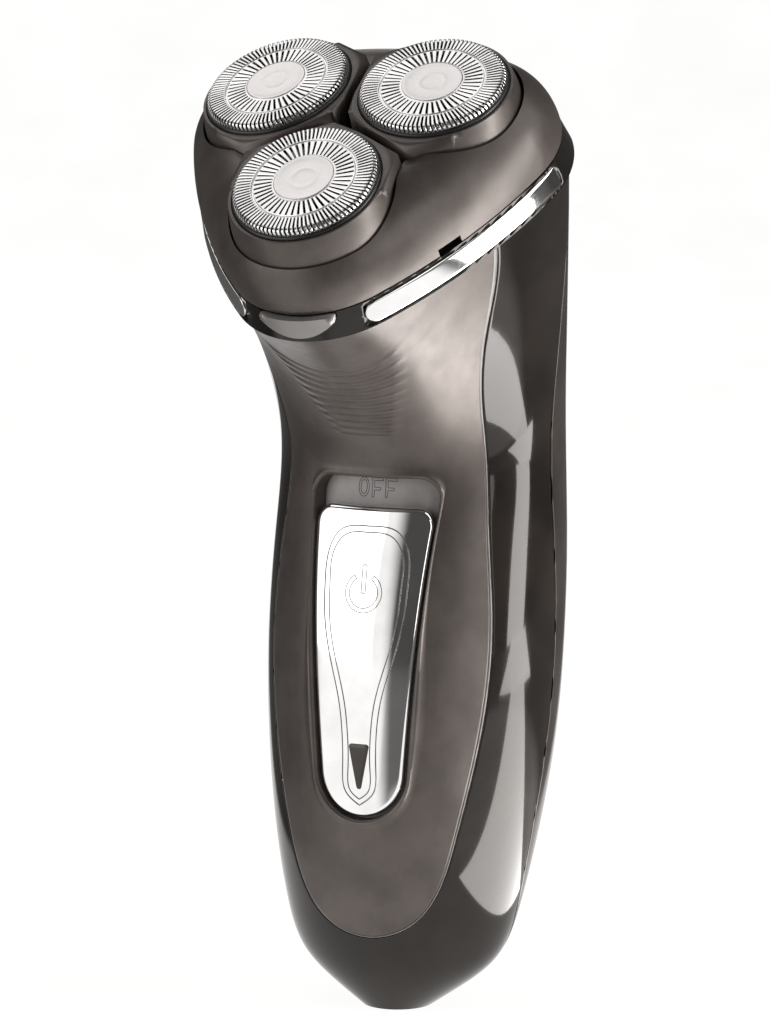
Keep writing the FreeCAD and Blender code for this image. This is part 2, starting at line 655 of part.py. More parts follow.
axle_holes = [(f"{circle_text}*cos({angle})", f"{circle_text}*sin({angle})", "axle_radius")
              for angle in HEADS.values()]
axle_holes[0] = ("0", axle_holes[0][1], "axle_radius")
screw_spots = [("screw_circle", "0", "screw_radius"), ("-screw_circle", "0", "screw_radius")]
plate("gear_plate", None, axle_holes + screw_spots + [("0", "0", "shaft_radius+0.6")],
      "plate_thick", HEAD * Placement(Vector(0, 0, plate_base), Rotation()), rim="plate_radius")
group("gear_axles", [rod("gear_axle", "axle_radius", "plate_drop+plate_thick-gear_drop-0.3",
                         Vector(spindle_circle * cos(radians(angle)),
                                spindle_circle * sin(radians(angle)), plate_base))
                     for angle in HEADS.values()], HEAD)
group("gear_posts", [rod("gear_post", "post_radius", "plate_drop-deck_drop-deck_thick",
                         Vector(size.post_circle * cos(radians(angle + 180)),
                                size.post_circle * sin(radians(angle + 180)), -size.plate_drop))
                     for angle in HEADS.values()], HEAD)
motor_top = plate_base
turned("motor_can", [("shaft_radius+0.4", "0"), ("motor_radius", "0"),
                     ("motor_radius", "-motor_length"),
                     ("motor_radius-motor_wall", "-motor_length"),
                     ("motor_radius-motor_wall", "-motor_wall"),
                     ("shaft_radius+0.4", "-motor_wall")],
       HEAD * Placement(Vector(0, 0, motor_top), Rotation()))
turned("motor_endcap", [("shaft_radius+0.05", "-motor_length"), ("motor_radius", "-motor_length"),
                        ("motor_radius", "-motor_length-0.8"), ("4", "-motor_length-0.8"),
                        ("4", "-motor_length-endcap_length"),
                        ("shaft_radius+0.05", "-motor_length-endcap_length")],
       HEAD * Placement(Vector(0, 0, motor_top), Rotation()))
turned("motor_rotor", [("0", "plate_drop+plate_thick-gear_drop-0.3"),
                       ("shaft_radius", "plate_drop+plate_thick-gear_drop-0.3"),
                       ("shaft_radius", "-motor_wall-2.5"), ("armature_radius", "-motor_wall-2.5"),
                       ("armature_radius", "-motor_length+6"), ("3", "-motor_length+6"),
                       ("3", "-motor_length+1.5"), ("shaft_radius", "-motor_length+1.5"),
                       ("shaft_radius", "-motor_length-endcap_length"),
                       ("0", "-motor_length-endcap_length")],
       HEAD * Placement(Vector(0, 0, motor_top), Rotation()))
screws = []
for side in (-1, 1):
    screw_x = side * size.screw_circle
    shank = rod("motor_screw_shank", "screw_radius", "plate_thick", Vector(screw_x, 0, plate_base))
    head = rod("motor_screw_head", "screw_head", "0.9", Vector(screw_x, 0, -size.plate_drop))
    screw = doc.addObject("Part::Fuse", "motor_screw")
    screw.Base, screw.Tool = shank, head
    screws.append(screw)
group("motor_screws", screws, HEAD)


# ---- head cover ------------------------------------------------------------------------------
inner_x = -size.pod_circle + size.channel_half / sin(radians(60))
wing_x = -size.pod_circle + size.petal_reach * cos(radians(60))
wing_y = size.petal_reach * sin(radians(60)) - size.tip_radius


def petal_outline(grown):
    """The plate from the middle of the unit to the flanks of one shaving head, seen from above."""
    radius = size.tip_radius + grown
    waist = size.petal_radius - 1.5 * size.tip_radius
    return round_hull([(inner_x + 2 * size.tip_radius, 0, radius), (wing_x, -wing_y, radius),
                       (0, -waist, radius), (0, waist, radius), (wing_x, wing_y, radius)])


cover_low = -size.cover_base + size.joint_gap
cover = trefoil_stack([(cover_low, 0.0), (-11.0, -0.3), (-8.5, -1.2), (-6.0, -3.0), (-4.2, -5.4),
                       (-3.0, -8.6)])
cavity_top = -size.pod_drop - size.pod_depth - 0.4
cover = cover.cut(trefoil_stack([(cover_low - 1, -size.cover_wall), (cavity_top, -size.cover_wall)]))
for angle in HEADS.values():
    pocket = Part.makeCylinder(size.petal_radius + size.pod_gap, 24, Vector(0, 0, -14))
    wings = petal_outline(size.pod_gap)
    wings.translate(Vector(0, 0, -14))
    pocket = pocket.fuse(prism(wings, Vector(0, 0, 24)))
    pocket.Placement = pod_frame(angle)
    cover = cover.cut(pocket)
cover = cover.cut(Part.makeCylinder(7, 24, Vector(0, 0, -14)))
for angle in HEADS.values():
    way = radians(angle + 180)
    spot = Vector(size.stay_circle * cos(way), size.stay_circle * sin(way), -size.retainer_drop)
    cover = cover.fuse(Part.makeCylinder(size.stay_radius,
                                         size.retainer_drop + cavity_top + 0.5, spot))
tongue_y = -nose_reach + size.collar_wall + 0.5
tongue_low = -size.deck_drop + 0.6
tongue = Part.makeBox(2 * size.latch_half, 1.2, cover_low + 1.6 - tongue_low,
                      Vector(-size.latch_half, tongue_y, tongue_low))
tongue = tongue.fuse(Part.makeBox(2 * size.latch_half, 2.6, 1.6,
                                  Vector(-size.latch_half, tongue_y - 1.4, cover_low)))
neck = Part.makeBox(2 * size.knuckle_half, size.hinge_back + size.cover_wall, 3.4,
                    Vector(-size.knuckle_half, pin_y - size.hinge_back - size.cover_wall, pin_z))
knuckle = Part.makeCylinder(size.knuckle_radius, 2 * size.knuckle_half,
                            Vector(-size.knuckle_half, pin_y, pin_z), X_AXIS)
cover = cover.fuse(tongue).fuse(neck).fuse(knuckle).cut(pin_bore)
notch = Part.makeBox(size.notch_width, 6, size.notch_height,
                     Vector(-size.notch_width / 2, -3, cover_low))
notch_spot = trefoil_point(-34)
for side in (-1, 1):
    cut = notch.copy()
    cut.Placement = Placement(Vector(side * notch_spot.x, notch_spot.y, 0),
                              Rotation(Z_AXIS, side * 56))
    cover = cover.cut(cut)
feature("head_cover", cover, HEAD)
retainer_holes = [(f"{circle_text}*cos({angle})", f"{circle_text}*sin({angle})",
                   "hub_radius+hub_room") for angle in HEADS.values()]
retainer_holes[0] = ("0", retainer_holes[0][1], "hub_radius+hub_room")
plate("cutter_retainer", None, retainer_holes + [("0", "0", "knob_pin+running_gap")],
      "retainer_thick", HEAD * Placement(Vector(0, 0, -size.retainer_drop - size.retainer_thick),
                                         Rotation()), rim="retainer_radius")
turned("retainer_knob", [("0", "retainer_thick+0.8"), ("knob_pin", "retainer_thick+0.8"),
                         ("knob_pin", "-0.1"), ("knob_radius", "-0.1"),
                         ("knob_radius", "-knob_height"), ("0", "-knob_height")],
       HEAD * Placement(Vector(0, 0, -size.retainer_drop - size.retainer_thick), Rotation()))

# ---- shaving heads ---------------------------------------------------------------------------
pod_low = -size.pod_drop - size.pod_depth
side_face = Part.Face(Part.Wire([
    Part.LineSegment(Vector(0, 0, pod_low), Vector(size.petal_radius, 0, pod_low)).toShape(),
    Part.Arc(Vector(size.petal_radius, 0, pod_low),
             Vector(size.petal_radius - 0.25, 0, pod_low + size.pod_depth * 0.6),
             Vector(size.pod_crown, 0, -size.pod_drop)).toShape(),
    Part.LineSegment(Vector(size.pod_crown, 0, -size.pod_drop), Vector(0, 0, -size.pod_drop)).toShape(),
    Part.LineSegment(Vector(0, 0, -size.pod_drop), Vector(0, 0, pod_low)).toShape()]))
petal = side_face.revolve(Vector(), Z_AXIS, 360)
wings = petal_outline(0.0)
wings.translate(Vector(0, 0, pod_low))
wedge_far = 60.0
wedge_side = wedge_far * sqrt(3)
wedge = prism(Part.makePolygon([Vector(inner_x, 0, -30), Vector(inner_x + wedge_far, -wedge_side, -30),
                                Vector(inner_x + wedge_far, wedge_side, -30),
                                Vector(inner_x, 0, -30)]), Vector(0, 0, 60))
bore_radius = size.cap_radius + size.rim_width + size.float_gap
petal = petal.fuse(prism(wings, Vector(0, 0, size.pod_depth))).common(wedge)
petal = petal.cut(Part.makeCylinder(bore_radius, 40, Vector(0, 0, -20)))
hub_top = "-cap_wall-cutter_gap-blade_height-cutter_plate"
for head, angle in HEADS.items():
    place = pod_place(angle)
    feature(f"pod_{head}", petal.copy(), place)
    turned(f"guard_cap_{head}",
           [("0", "0"), ("cap_radius-0.5", "0"), ("cap_radius", "-0.5"),
            ("cap_radius", "-cap_height"), ("cap_radius-cap_wall", "-cap_height"),
            ("cap_radius-cap_wall", "-cap_wall"), ("0", "-cap_wall")], place)
    turned(f"guard_ring_{head}",
           [("cap_radius", "-rim_drop"), ("cap_radius+rim_width-0.2", "-rim_drop"),
            ("cap_radius+rim_width", "-rim_drop-0.3"),
            ("cap_radius+rim_width", "-rim_drop-rim_height"),
            ("cap_radius", "-rim_drop-rim_height")], place)
    turned(f"centre_cap_{head}", [("0", "0"), ("badge_radius", "0"),
                                  ("badge_radius", "badge_thick/2"),
                                  ("badge_radius-0.4", "badge_thick"), ("0", "badge_thick")], place)
    blade_low = -size.cap_wall - size.cutter_gap - size.blade_height
    cutter = Part.makeCylinder(size.blade_radius, size.cutter_plate,
                               Vector(0, 0, blade_low - size.cutter_plate))
    blade = Part.makeBox(size.blade_radius - 5.6, size.blade_thick, size.blade_height,
                         Vector(5.5, -size.blade_thick / 2, blade_low))
    for number in range(int(size.blade_count)):
        turned_blade = blade.copy()
        turned_blade.rotate(Vector(), Z_AXIS, number * 360.0 / size.blade_count)
        cutter = cutter.fuse(turned_blade)
    feature(f"cutter_{head}", cutter, place)
    turned(f"cutter_hub_{head}",
           [("0", hub_top), ("hub_radius", hub_top), ("hub_radius", hub_top + "-hub_length"),
            ("socket_radius", hub_top + "-hub_length"),
            ("socket_radius", hub_top + "-hub_length+socket_depth"),
            ("0", hub_top + "-hub_length+socket_depth")], place)

# ---- checks and export -----------------------------------------------------------------------
doc.recompute()
for item in doc.Objects:
    if {"Invalid", "Error"} & set(item.State):
        raise RuntimeError(f"{item.Name} failed: {item.State}")
os.makedirs("parts", exist_ok=True)
for item in nodes:
    if item.Shape.isNull() or not item.Shape.isValid() or not item.Shape.Solids:
        raise RuntimeError(f"{item.Label} has no sound solid")
    item.Shape.exportStep(f"parts/{item.Label}.step")
    box = item.Shape.BoundBox
    print(f"{item.Label:22s} solids {len(item.Shape.Solids)} volume {item.Shape.Volume:9.2f}  "
          f"z {box.ZMin:7.2f} to {box.ZMax:7.2f}")
print(len(nodes), "sub-parts; gear module", round(gear_module, 4), "spindle circle",
      round(spindle_circle, 3))
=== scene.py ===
import math

import bmesh
import bpy
import numpy as np
from mathutils import Matrix, Vector


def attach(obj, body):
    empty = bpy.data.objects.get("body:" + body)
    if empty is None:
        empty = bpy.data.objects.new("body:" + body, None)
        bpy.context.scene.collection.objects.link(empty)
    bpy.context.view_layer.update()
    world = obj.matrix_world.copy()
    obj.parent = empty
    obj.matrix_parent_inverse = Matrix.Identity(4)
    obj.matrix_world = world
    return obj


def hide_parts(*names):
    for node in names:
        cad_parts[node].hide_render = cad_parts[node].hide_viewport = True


# Rotary shaver, drawn in millimetres and turned into metres when a mesh is made.
# The handle's skin is a stack of closed sections; every shell is a patch of that skin.

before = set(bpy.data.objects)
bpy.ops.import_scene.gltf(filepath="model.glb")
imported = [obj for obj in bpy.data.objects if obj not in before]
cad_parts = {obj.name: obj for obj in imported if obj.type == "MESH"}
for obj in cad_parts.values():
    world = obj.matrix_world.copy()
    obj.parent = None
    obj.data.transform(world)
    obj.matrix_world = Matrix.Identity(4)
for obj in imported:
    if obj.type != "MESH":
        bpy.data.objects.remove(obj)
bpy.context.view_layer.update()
toMetres = 0.001

# shaders


class Tone:
    # one shader value; arithmetic on it adds Math nodes
    def __init__(self, paint, socket):
        self.paint, self.socket = paint, socket

    def maths(self, operation, *others):
        made = self.paint.add("ShaderNodeMath", {"operation": operation}, *others)
        return Tone(self.paint, made.outputs[0])

    def __add__(self, other):
        return self.maths("ADD", self, other)

    def __radd__(self, other):
        return self.maths("ADD", other, self)

    def __sub__(self, other):
        return self.maths("SUBTRACT", self, other)

    def __rsub__(self, other):
        return self.maths("SUBTRACT", other, self)

    def __mul__(self, other):
        return self.maths("MULTIPLY", self, other)

    def __rmul__(self, other):
        return self.maths("MULTIPLY", other, self)

    def __truediv__(self, other):
        return self.maths("DIVIDE", self, other)

    def __pow__(self, other):
        return self.maths("POWER", self, other)

    def between(self, low, high, first=0.0, last=1.0):
        # a smooth step from first to last as the value runs from low to high
        made = self.paint.add("ShaderNodeMapRange", {"interpolation_type": "SMOOTHSTEP"},
                              self, low, high, first, last)
        return Tone(self.paint, made.outputs[0])


class Paint:
    # a material with one Principled shader and the nodes that feed it
    def __init__(self, name, slotName=None, **uniform):
        self.material = bpy.data.materials.new(name)
        self.material.use_nodes = True
        self.slotName = slotName
        self.tree = self.material.node_tree
        self.shader = self.tree.nodes["Principled BSDF"]
        for socketName, amount in uniform.items():
            self.shader.inputs[socketName.replace("_", " ")].default_value = amount
        self.coords = self.add("ShaderNodeTexCoord").outputs["Object"]

    def add(self, kind, settings=None, *values, **named):
        made = self.tree.nodes.new(kind)
        for key, setting in (settings or {}).items():
            setattr(made, key, setting)
        pairs = [(made.inputs[index], given) for index, given in enumerate(values)]
        pairs += [(made.inputs[key.replace("_", " ")], given) for key, given in named.items()]
        for socket, given in pairs:
            self.feed(socket, given)
        return made

    def feed(self, socket, given):
        if isinstance(given, Tone):
            given = given.socket
        if isinstance(given, bpy.types.NodeSocket):
            self.tree.links.new(given, socket)
        else:
            socket.default_value = given

    def spot(self, stretch=(1, 1, 1)):
        # object coordinates in metres, stretched per axis
        made = self.add("ShaderNodeVectorMath", {"operation": "MULTIPLY"}, self.coords, stretch)
        return made.outputs[0]

    def axis(self, index):
        return Tone(self, self.add("ShaderNodeSeparateXYZ", None, self.coords).outputs[index])

    def noise(self, grain, detail=3.0, stretch=(1, 1, 1), rough=0.55):
        # cloudy noise whose blobs are about grain millimetres across
        made = self.add("ShaderNodeTexNoise", None, Vector=self.spot(stretch),
                        Scale=1000.0 / grain, Detail=detail, Roughness=rough)
        return Tone(self, made.outputs[0])

    def cells(self, grain, stretch=(1, 1, 1)):
        made = self.add("ShaderNodeTexVoronoi", None, Vector=self.spot(stretch),
                        Scale=1000.0 / grain)
        return Tone(self, made.outputs["Distance"])

    def mix(self, share, first, last):
        made = self.add("ShaderNodeMix", {"data_type": "RGBA"})
        self.feed(made.inputs[0], share)
        for socket, given in ((made.inputs[6], first), (made.inputs[7], last)):
            self.feed(socket, (*given, 1.0) if isinstance(given, tuple) else given)
        return made.outputs[2]

    def bump(self, height, depth, strength=1.0, after=None):
        # depth in millimetres
        made = self.add("ShaderNodeBump", None, Strength=strength, Distance=depth * toMetres)
        self.feed(made.inputs["Height"], height)
        if after is not None:
            self.feed(made.inputs["Normal"], after)
        return made.outputs[0]

    def put(self, **varied):
        for key, given in varied.items():
            self.feed(self.shader.inputs[key.replace("_", " ")], given)
        return self


def satinPaint(name, slotName, dark, light, grain=0.12, rough=0.36, metallic=0.55):
    # lacquer with metal flake: broad soft clouds of tone over a fine grain
    paint = Paint(name, slotName, Metallic=metallic, Coat_Weight=0.12, Coat_Roughness=0.22)
    flake = paint.cells(grain)
    cloud = paint.noise(9.0, 4.0)
    scuff = paint.noise(2.2, 5.0, (1, 1, 0.25))
    tone = cloud.between(0.3, 0.7, 0.15, 0.7) + flake * 0.35
    paint.put(Base_Color=paint.mix(tone, dark, light),
              Roughness=scuff.between(0.25, 0.75, rough - 0.04, rough + 0.05),
              Normal=paint.bump(flake + paint.noise(0.3, 2.0) * 0.5, 0.006, 0.5))
    return paint


def glossPaint(name, slotName, dark, light, rough=0.07, coat=0.4):
    # moulded gloss plastic: faint orange peel, hairline wipes and dust-dulled patches
    paint = Paint(name, slotName, Coat_Weight=coat, Coat_Roughness=0.03, IOR=1.5,
                  Specular_IOR_Level=0.2,
                  Specular_Tint=(1.0, 0.91, 0.84, 1.0), Coat_Tint=(1.0, 0.96, 0.93, 1.0))
    peel = paint.noise(3.5, 2.0)
    wipes = paint.noise(0.5, 6.0, (1, 1, 0.03))
    dull = paint.noise(14.0, 4.0)
    paint.put(Base_Color=paint.mix(dull.between(0.3, 0.7), dark, light),
              Roughness=(wipes * 0.04 + dull.between(0.4, 0.8, rough, rough + 0.05)),
              Normal=paint.bump(peel + wipes * 0.08, 0.010, 0.35))
    return paint


def plainPlastic(name, slotName, dark, light, rough=0.45, grain=0.25):
    paint = Paint(name, slotName, IOR=1.48)
    spark = paint.noise(grain, 3.0)
    cloud = paint.noise(5.0, 4.0)
    paint.put(Base_Color=paint.mix(cloud.between(0.3, 0.7), dark, light),
              Roughness=cloud.between(0.3, 0.7, rough - 0.05, rough + 0.06),
              Normal=paint.bump(spark, 0.012, 0.5))
    return paint


def bareMetal(name, slotName, dark, light, rough=0.25, stretch=(1, 1, 0.08)):
    # drawn or turned metal with hairlines along one axis
    paint = Paint(name, slotName, Metallic=1.0)
    lines = paint.noise(0.18, 5.0, stretch)
    cloud = paint.noise(4.0, 4.0)
    paint.put(Base_Color=paint.mix(cloud.between(0.3, 0.7), dark, light),
              Roughness=(lines * 0.12 + cloud.between(0.3, 0.7, rough - 0.06, rough + 0.04)),
              Normal=paint.bump(lines, 0.004, 0.4))
    return paint


def mirrorMetal(name, slotName, dark, light):
    # plated chrome: nearly a mirror, with faint wipes and a slight haze
    paint = Paint(name, slotName, Metallic=1.0)
    wipes = paint.noise(0.6, 5.0, (1, 1, 0.05))
    haze = paint.noise(6.0, 4.0)
    paint.put(Base_Color=paint.mix(haze.between(0.3, 0.7), dark, light),
              Roughness=haze.between(0.35, 0.7, 0.02, 0.05) + wipes * 0.02,
              Normal=paint.bump(wipes, 0.002, 0.2))
    return paint


panelPaint = satinPaint("panelPaint", "panel_paint", (0.060, 0.049, 0.043), (0.120, 0.101, 0.091),
                        rough=0.40)
frameGloss = glossPaint("frameGloss", "gloss_shell", (0.009, 0.008, 0.007), (0.018, 0.015, 0.013))
rearGloss = glossPaint("rearGloss", "rear_shell", (0.022, 0.019, 0.017), (0.036, 0.031, 0.028),
                       rough=0.16, coat=0.35)
collarGloss = glossPaint("collarGloss", "black_gloss", (0.006, 0.006, 0.005), (0.012, 0.011, 0.010),
                         rough=0.05)
chrome = mirrorMetal("chrome", "chrome_trim", (0.86, 0.85, 0.84), (0.94, 0.93, 0.92))
foilSteel = bareMetal("foilSteel", "foil_steel", (0.70, 0.69, 0.68), (0.88, 0.87, 0.86), rough=0.2,
                      stretch=(1, 1, 1))
badgeSilver = bareMetal("badgeSilver", "badge_silver", (0.66, 0.63, 0.62), (0.78, 0.75, 0.74),
                        rough=0.3, stretch=(0.1, 1, 1))
lineGrey = bareMetal("lineGrey", "chrome_trim", (0.10, 0.10, 0.10), (0.22, 0.21, 0.21), rough=0.2)
ringBlack = plainPlastic("ringBlack", "inner_black", (0.008, 0.008, 0.008), (0.018, 0.017, 0.016),
                         rough=0.3)
innerBlack = plainPlastic("innerBlack", "inner_black", (0.012, 0.012, 0.012),
                          (0.030, 0.029, 0.028))
trayGrey = plainPlastic("trayGrey", "tray_grey", (0.27, 0.25, 0.24), (0.34, 0.32, 0.31), rough=0.4)
sealGrey = plainPlastic("sealGrey", "seal_grey", (0.16, 0.15, 0.145), (0.24, 0.23, 0.22),
                        rough=0.35)
buttonGrey = satinPaint("buttonGrey", "button_grey", (0.20, 0.185, 0.178), (0.30, 0.28, 0.27),
                        rough=0.34, metallic=0.4)
windowSmoke = glossPaint("windowSmoke", "window_smoke", (0.030, 0.028, 0.026), (0.06, 0.055, 0.05),
                         rough=0.04)
gearWhite = plainPlastic("gearWhite", "gear_white", (0.62, 0.61, 0.57), (0.72, 0.71, 0.67))
plainSteel = bareMetal("plainSteel", "plain_steel", (0.46, 0.46, 0.47), (0.62, 0.62, 0.62))
# painted shade: the cutters are coloured dark steel so the slots of the guard caps above them read
# dark
shadedBladeSteel = bareMetal("shadedBladeSteel", "plain_steel", (0.10, 0.10, 0.10), (0.20, 0.20, 0.20))
cellWrap = plainPlastic("cellWrap", "cell_wrap", (0.05, 0.17, 0.10), (0.07, 0.24, 0.14), rough=0.3)
nickel = bareMetal("nickel", "nickel", (0.60, 0.57, 0.52), (0.72, 0.69, 0.64), rough=0.3)
boardGreen = plainPlastic("boardGreen", "board_green", (0.02, 0.10, 0.05), (0.03, 0.15, 0.08))
ledClear = plainPlastic("ledClear", "led_clear", (0.75, 0.78, 0.80), (0.85, 0.88, 0.90), rough=0.15)
print("paints made")

# meshes


def gridFaces(rows, columns, wrapped=False):
    # quads of a rows x columns grid of points, the columns closed into a ring where wrapped
    index = np.arange(rows * columns).reshape(rows, columns)
    if wrapped:
        index = np.hstack([index, index[:, :1]])
    return np.stack([index[:-1, :-1], index[:-1, 1:], index[1:, 1:], index[1:, :-1]],
                    axis=-1).reshape(-1, 4)


def joined(parts):
    # several (points, faces) as one
    points, faces, start = [], [], 0
    for partPoints, partFaces in parts:
        points.append(np.asarray(partPoints, float))
        faces += [[corner + start for corner in face] for face in partFaces]
        start += len(partPoints)
    return np.vstack(points), faces


def bothSides(points, faces):
    # a right half and its mirror image
    return joined([(points, faces), (points * [-1, 1, 1], faces)])


def piece(name, points, faces, paint, body, stands=(), weld=0.002, sharp=40.0, around=None):
    # a smooth-shaded mesh that rides a body and stands for CAD nodes
    mesh = bpy.data.meshes.new(name)
    mesh.from_pydata((np.asarray(points) * toMetres).tolist(), [],
                     [list(map(int, face)) for face in faces])
    work = bmesh.new()
    work.from_mesh(mesh)
    bmesh.ops.remove_doubles(work, verts=work.verts, dist=weld * toMetres)
    bmesh.ops.dissolve_degenerate(work, edges=work.edges, dist=0.0002 * toMetres)
    bmesh.ops.recalc_face_normals(work, faces=work.faces)
    if around is not None:
        # an open sheet faces away from a point inside it
        middle = Vector(around) * toMetres
        lean = sum(face.normal.dot(face.calc_center_median() - middle) * face.calc_area()
                   for face in work.faces)
        if lean < 0:
            bmesh.ops.reverse_faces(work, faces=work.faces)
    work.to_mesh(mesh)
    work.free()
    mesh.shade_smooth()
    mesh.set_sharp_from_angle(angle=math.radians(sharp))
    made = bpy.data.objects.new(name, mesh)
    bpy.context.scene.collection.objects.link(made)
    return dress(made, paint, body, stands)


def dress(made, paint, body, stands=()):
    made.data.materials.clear()
    made.data.materials.append(paint.material)
    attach(made, body)
    if stands:
        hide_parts(*stands)
    return made


def lipped(points, faces, inward, depth, kept=None):
    # a sheet whose free edges are folded in by a depth along each point's own inward way
    faces = np.asarray(faces)
    edges = np.sort(np.vstack([faces[:, [0, 1]], faces[:, [1, 2]], faces[:, [2, 3]],
                               faces[:, [3, 0]]]), axis=1)
    edges = edges[edges[:, 0] != edges[:, 1]]
    pairs, counts = np.unique(edges, axis=0, return_counts=True)
    free = pairs[counts == 1]
    if kept is not None:
        free = free[kept[free].all(axis=1)]
    start = len(points)
    folded = points + inward * depth
    walls = np.column_stack([free[:, 0], free[:, 1], free[:, 1] + start, free[:, 0] + start])
    used = np.unique(free)
    lookup = np.zeros(2 * start, int)
    lookup[:start] = np.arange(start)
    lookup[start + used] = start + np.arange(len(used))
    return np.vstack([points, folded[used]]), faces.tolist() + lookup[walls].tolist()


def turnedMesh(profile, place, segments=96):
    # a surface of revolution; the profile is (radius, height) in the place's frame
    ways = np.arange(segments) * 2 * math.pi / segments
    points = [[radius * math.cos(way), radius * math.sin(way), height]
              for radius, height in profile for way in ways]
    return place(np.array(points)), gridFaces(len(profile), segments, wrapped=True)


beadSides, beadSunk = 7, 0.05


def beadMesh(path, outward, width, height, closed=False):
    # a rounded bead along a path of points; outward is the surface's normal at each
    path, outward = np.asarray(path), np.asarray(outward)
    run = np.roll(path, -1, axis=0) - np.roll(path, 1, axis=0)
    if not closed:
        run[0], run[-1] = path[1] - path[0], path[-1] - path[-2]
    aside = np.cross(run, outward)
    aside /= np.linalg.norm(aside, axis=1, keepdims=True)
    ways = np.linspace(0, math.pi, beadSides)
    rings = [path + aside * (width / 2 * math.cos(way))
             + outward * (height * math.sin(way) - beadSunk) for way in ways]
    points = np.stack(rings).transpose(1, 0, 2)
    faces = gridFaces(len(path) + int(closed), beadSides)
    if closed:
        points = np.concatenate([points, points[:1]])
    points = points.reshape(-1, 3)
    faces = faces.tolist()
    if not closed:
        last = len(points) - 1
        faces += [list(range(beadSides)), list(range(last, last - beadSides, -1))]
    return points, faces


# the handle's skin
handle = {"neck": 92.2, "width": 49.8, "depth": 45.3, "gap": 0.3, "panelWidth": 38.4,
          "panelBottom": 13.7, "rearSeam": 10.0, "neckFront": -0.185, "neckBack": 0.732,
          "neckHalf": 0.484, "neckLean": 10.0, "throatBend": 25.0, "wall": 2.0, "joint": 0.7}
unit = {"tilt": 38.0, "forward": 21.3, "height": 147.6, "corner": 16.2, "noseCircle": 15.0,
        "rearCircle": 17.0, "bow": 67.5, "coverBase": -14.5, "collarBase": -19.0, "flare": 0.9}


def headPlace(points):
    # from the shaving unit's frame to the shaver's
    tilt = math.radians(unit["tilt"])
    x, y, z = np.asarray(points, float).T
    return np.column_stack([x, y * math.cos(tilt) - z * math.sin(tilt) - unit["forward"],
                            y * math.sin(tilt) + z * math.cos(tilt) + unit["height"]])


def trefoilArcs():
    rearWay = math.radians(30)
    corners = [np.array([0.0, -unit["noseCircle"]]),
               np.array([math.cos(rearWay), math.sin(rearWay)]) * unit["rearCircle"],
               np.array([-math.cos(rearWay), math.sin(rearWay)]) * unit["rearCircle"]]
    flanks = []
    for index, here in enumerate(corners):
        there = corners[(index + 1) % 3]
        run = (there - here) / np.linalg.norm(there - here)
        centre = (here + there) / 2 - np.array([run[1], -run[0]]) * unit["bow"]
        radius = unit["corner"] + np.linalg.norm(here - centre)
        first, last = (math.degrees(math.atan2(*(spot - centre)[::-1])) for spot in (here, there))
        flanks.append((centre, radius, first, first + (last - first) % 360))
    arcs = []
    for index, flank in enumerate(flanks):
        start = flank[2] - (flank[2] - flanks[index - 1][3]) % 360
        arcs += [(corners[index], unit["corner"], start, flank[2]), flank]
    return arcs


def trefoil(angles, grown=0.0):
    # points of the three-cornered outline whose normals have those angles
    angles = np.atleast_1d(np.asarray(angles, float))
    made = np.zeros((len(angles), 2))
    for centre, radius, first, last in trefoilArcs():
        inside = (angles - first) % 360 <= last - first + 1e-9
        ways = np.radians(angles[inside])
        made[inside] = centre + (radius + grown) * np.column_stack([np.cos(ways), np.sin(ways)])
    return made


noseReach = unit["noseCircle"] + unit["corner"]
flankReach = trefoil(90)[0][1]
halfReach = trefoil(0)[0][0]
lowerRows = ((0.000, -0.080, 0.190, 0.120), (0.035, -0.128, 0.255, 0.215),
             (0.088, -0.185, 0.345, 0.330), (0.184, -0.245, 0.450, 0.402),
             (0.327, -0.286, 0.560, 0.452), (0.490, -0.297, 0.660, 0.487),
             (0.674, -0.283, 0.722, 0.500), (0.847, -0.222, 0.742, 0.494))


def bezier(start, bend, end, share):
    return start * (1 - share) ** 2 + bend * 2 * share * (1 - share) + end * share ** 2


def spanPoint(here, there, bendHere, bendThere, share, length):
    # a point of one span of a cubic spline, by the second derivatives at its ends
    left = 1 - share
    return (here * left + there * share
            + ((left ** 3 - left) * bendHere + (share ** 3 - share) * bendThere) * length ** 2 / 6)


def ringSpline(spots, steps):
    # a smooth closed curve through spots, each span cut into steps
    count = len(spots)
    spans = np.linalg.norm(np.roll(spots, -1, axis=0) - spots, axis=1)
    matrix, target = np.zeros((count, count)), np.zeros((count, 3))
    for index in range(count):
        before, after = spans[index - 1], spans[index]
        matrix[index, index - 1] += before
        matrix[index, index] += 2 * (before + after)
        matrix[index, (index + 1) % count] += after
        target[index] = 6 * ((spots[(index + 1) % count] - spots[index]) / after
                             - (spots[index] - spots[index - 1]) / before)
    bends = np.linalg.solve(matrix, target)
    share = (np.arange(steps) / steps)[None, :, None]
    span = spans[:, None, None]
    here, there = spots[:, None], np.roll(spots, -1, axis=0)[:, None]
    bendHere, bendThere = bends[:, None], np.roll(bends, -1, axis=0)[:, None]
    return spanPoint(here, there, bendHere, bendThere, share, span).reshape(-1, 3)


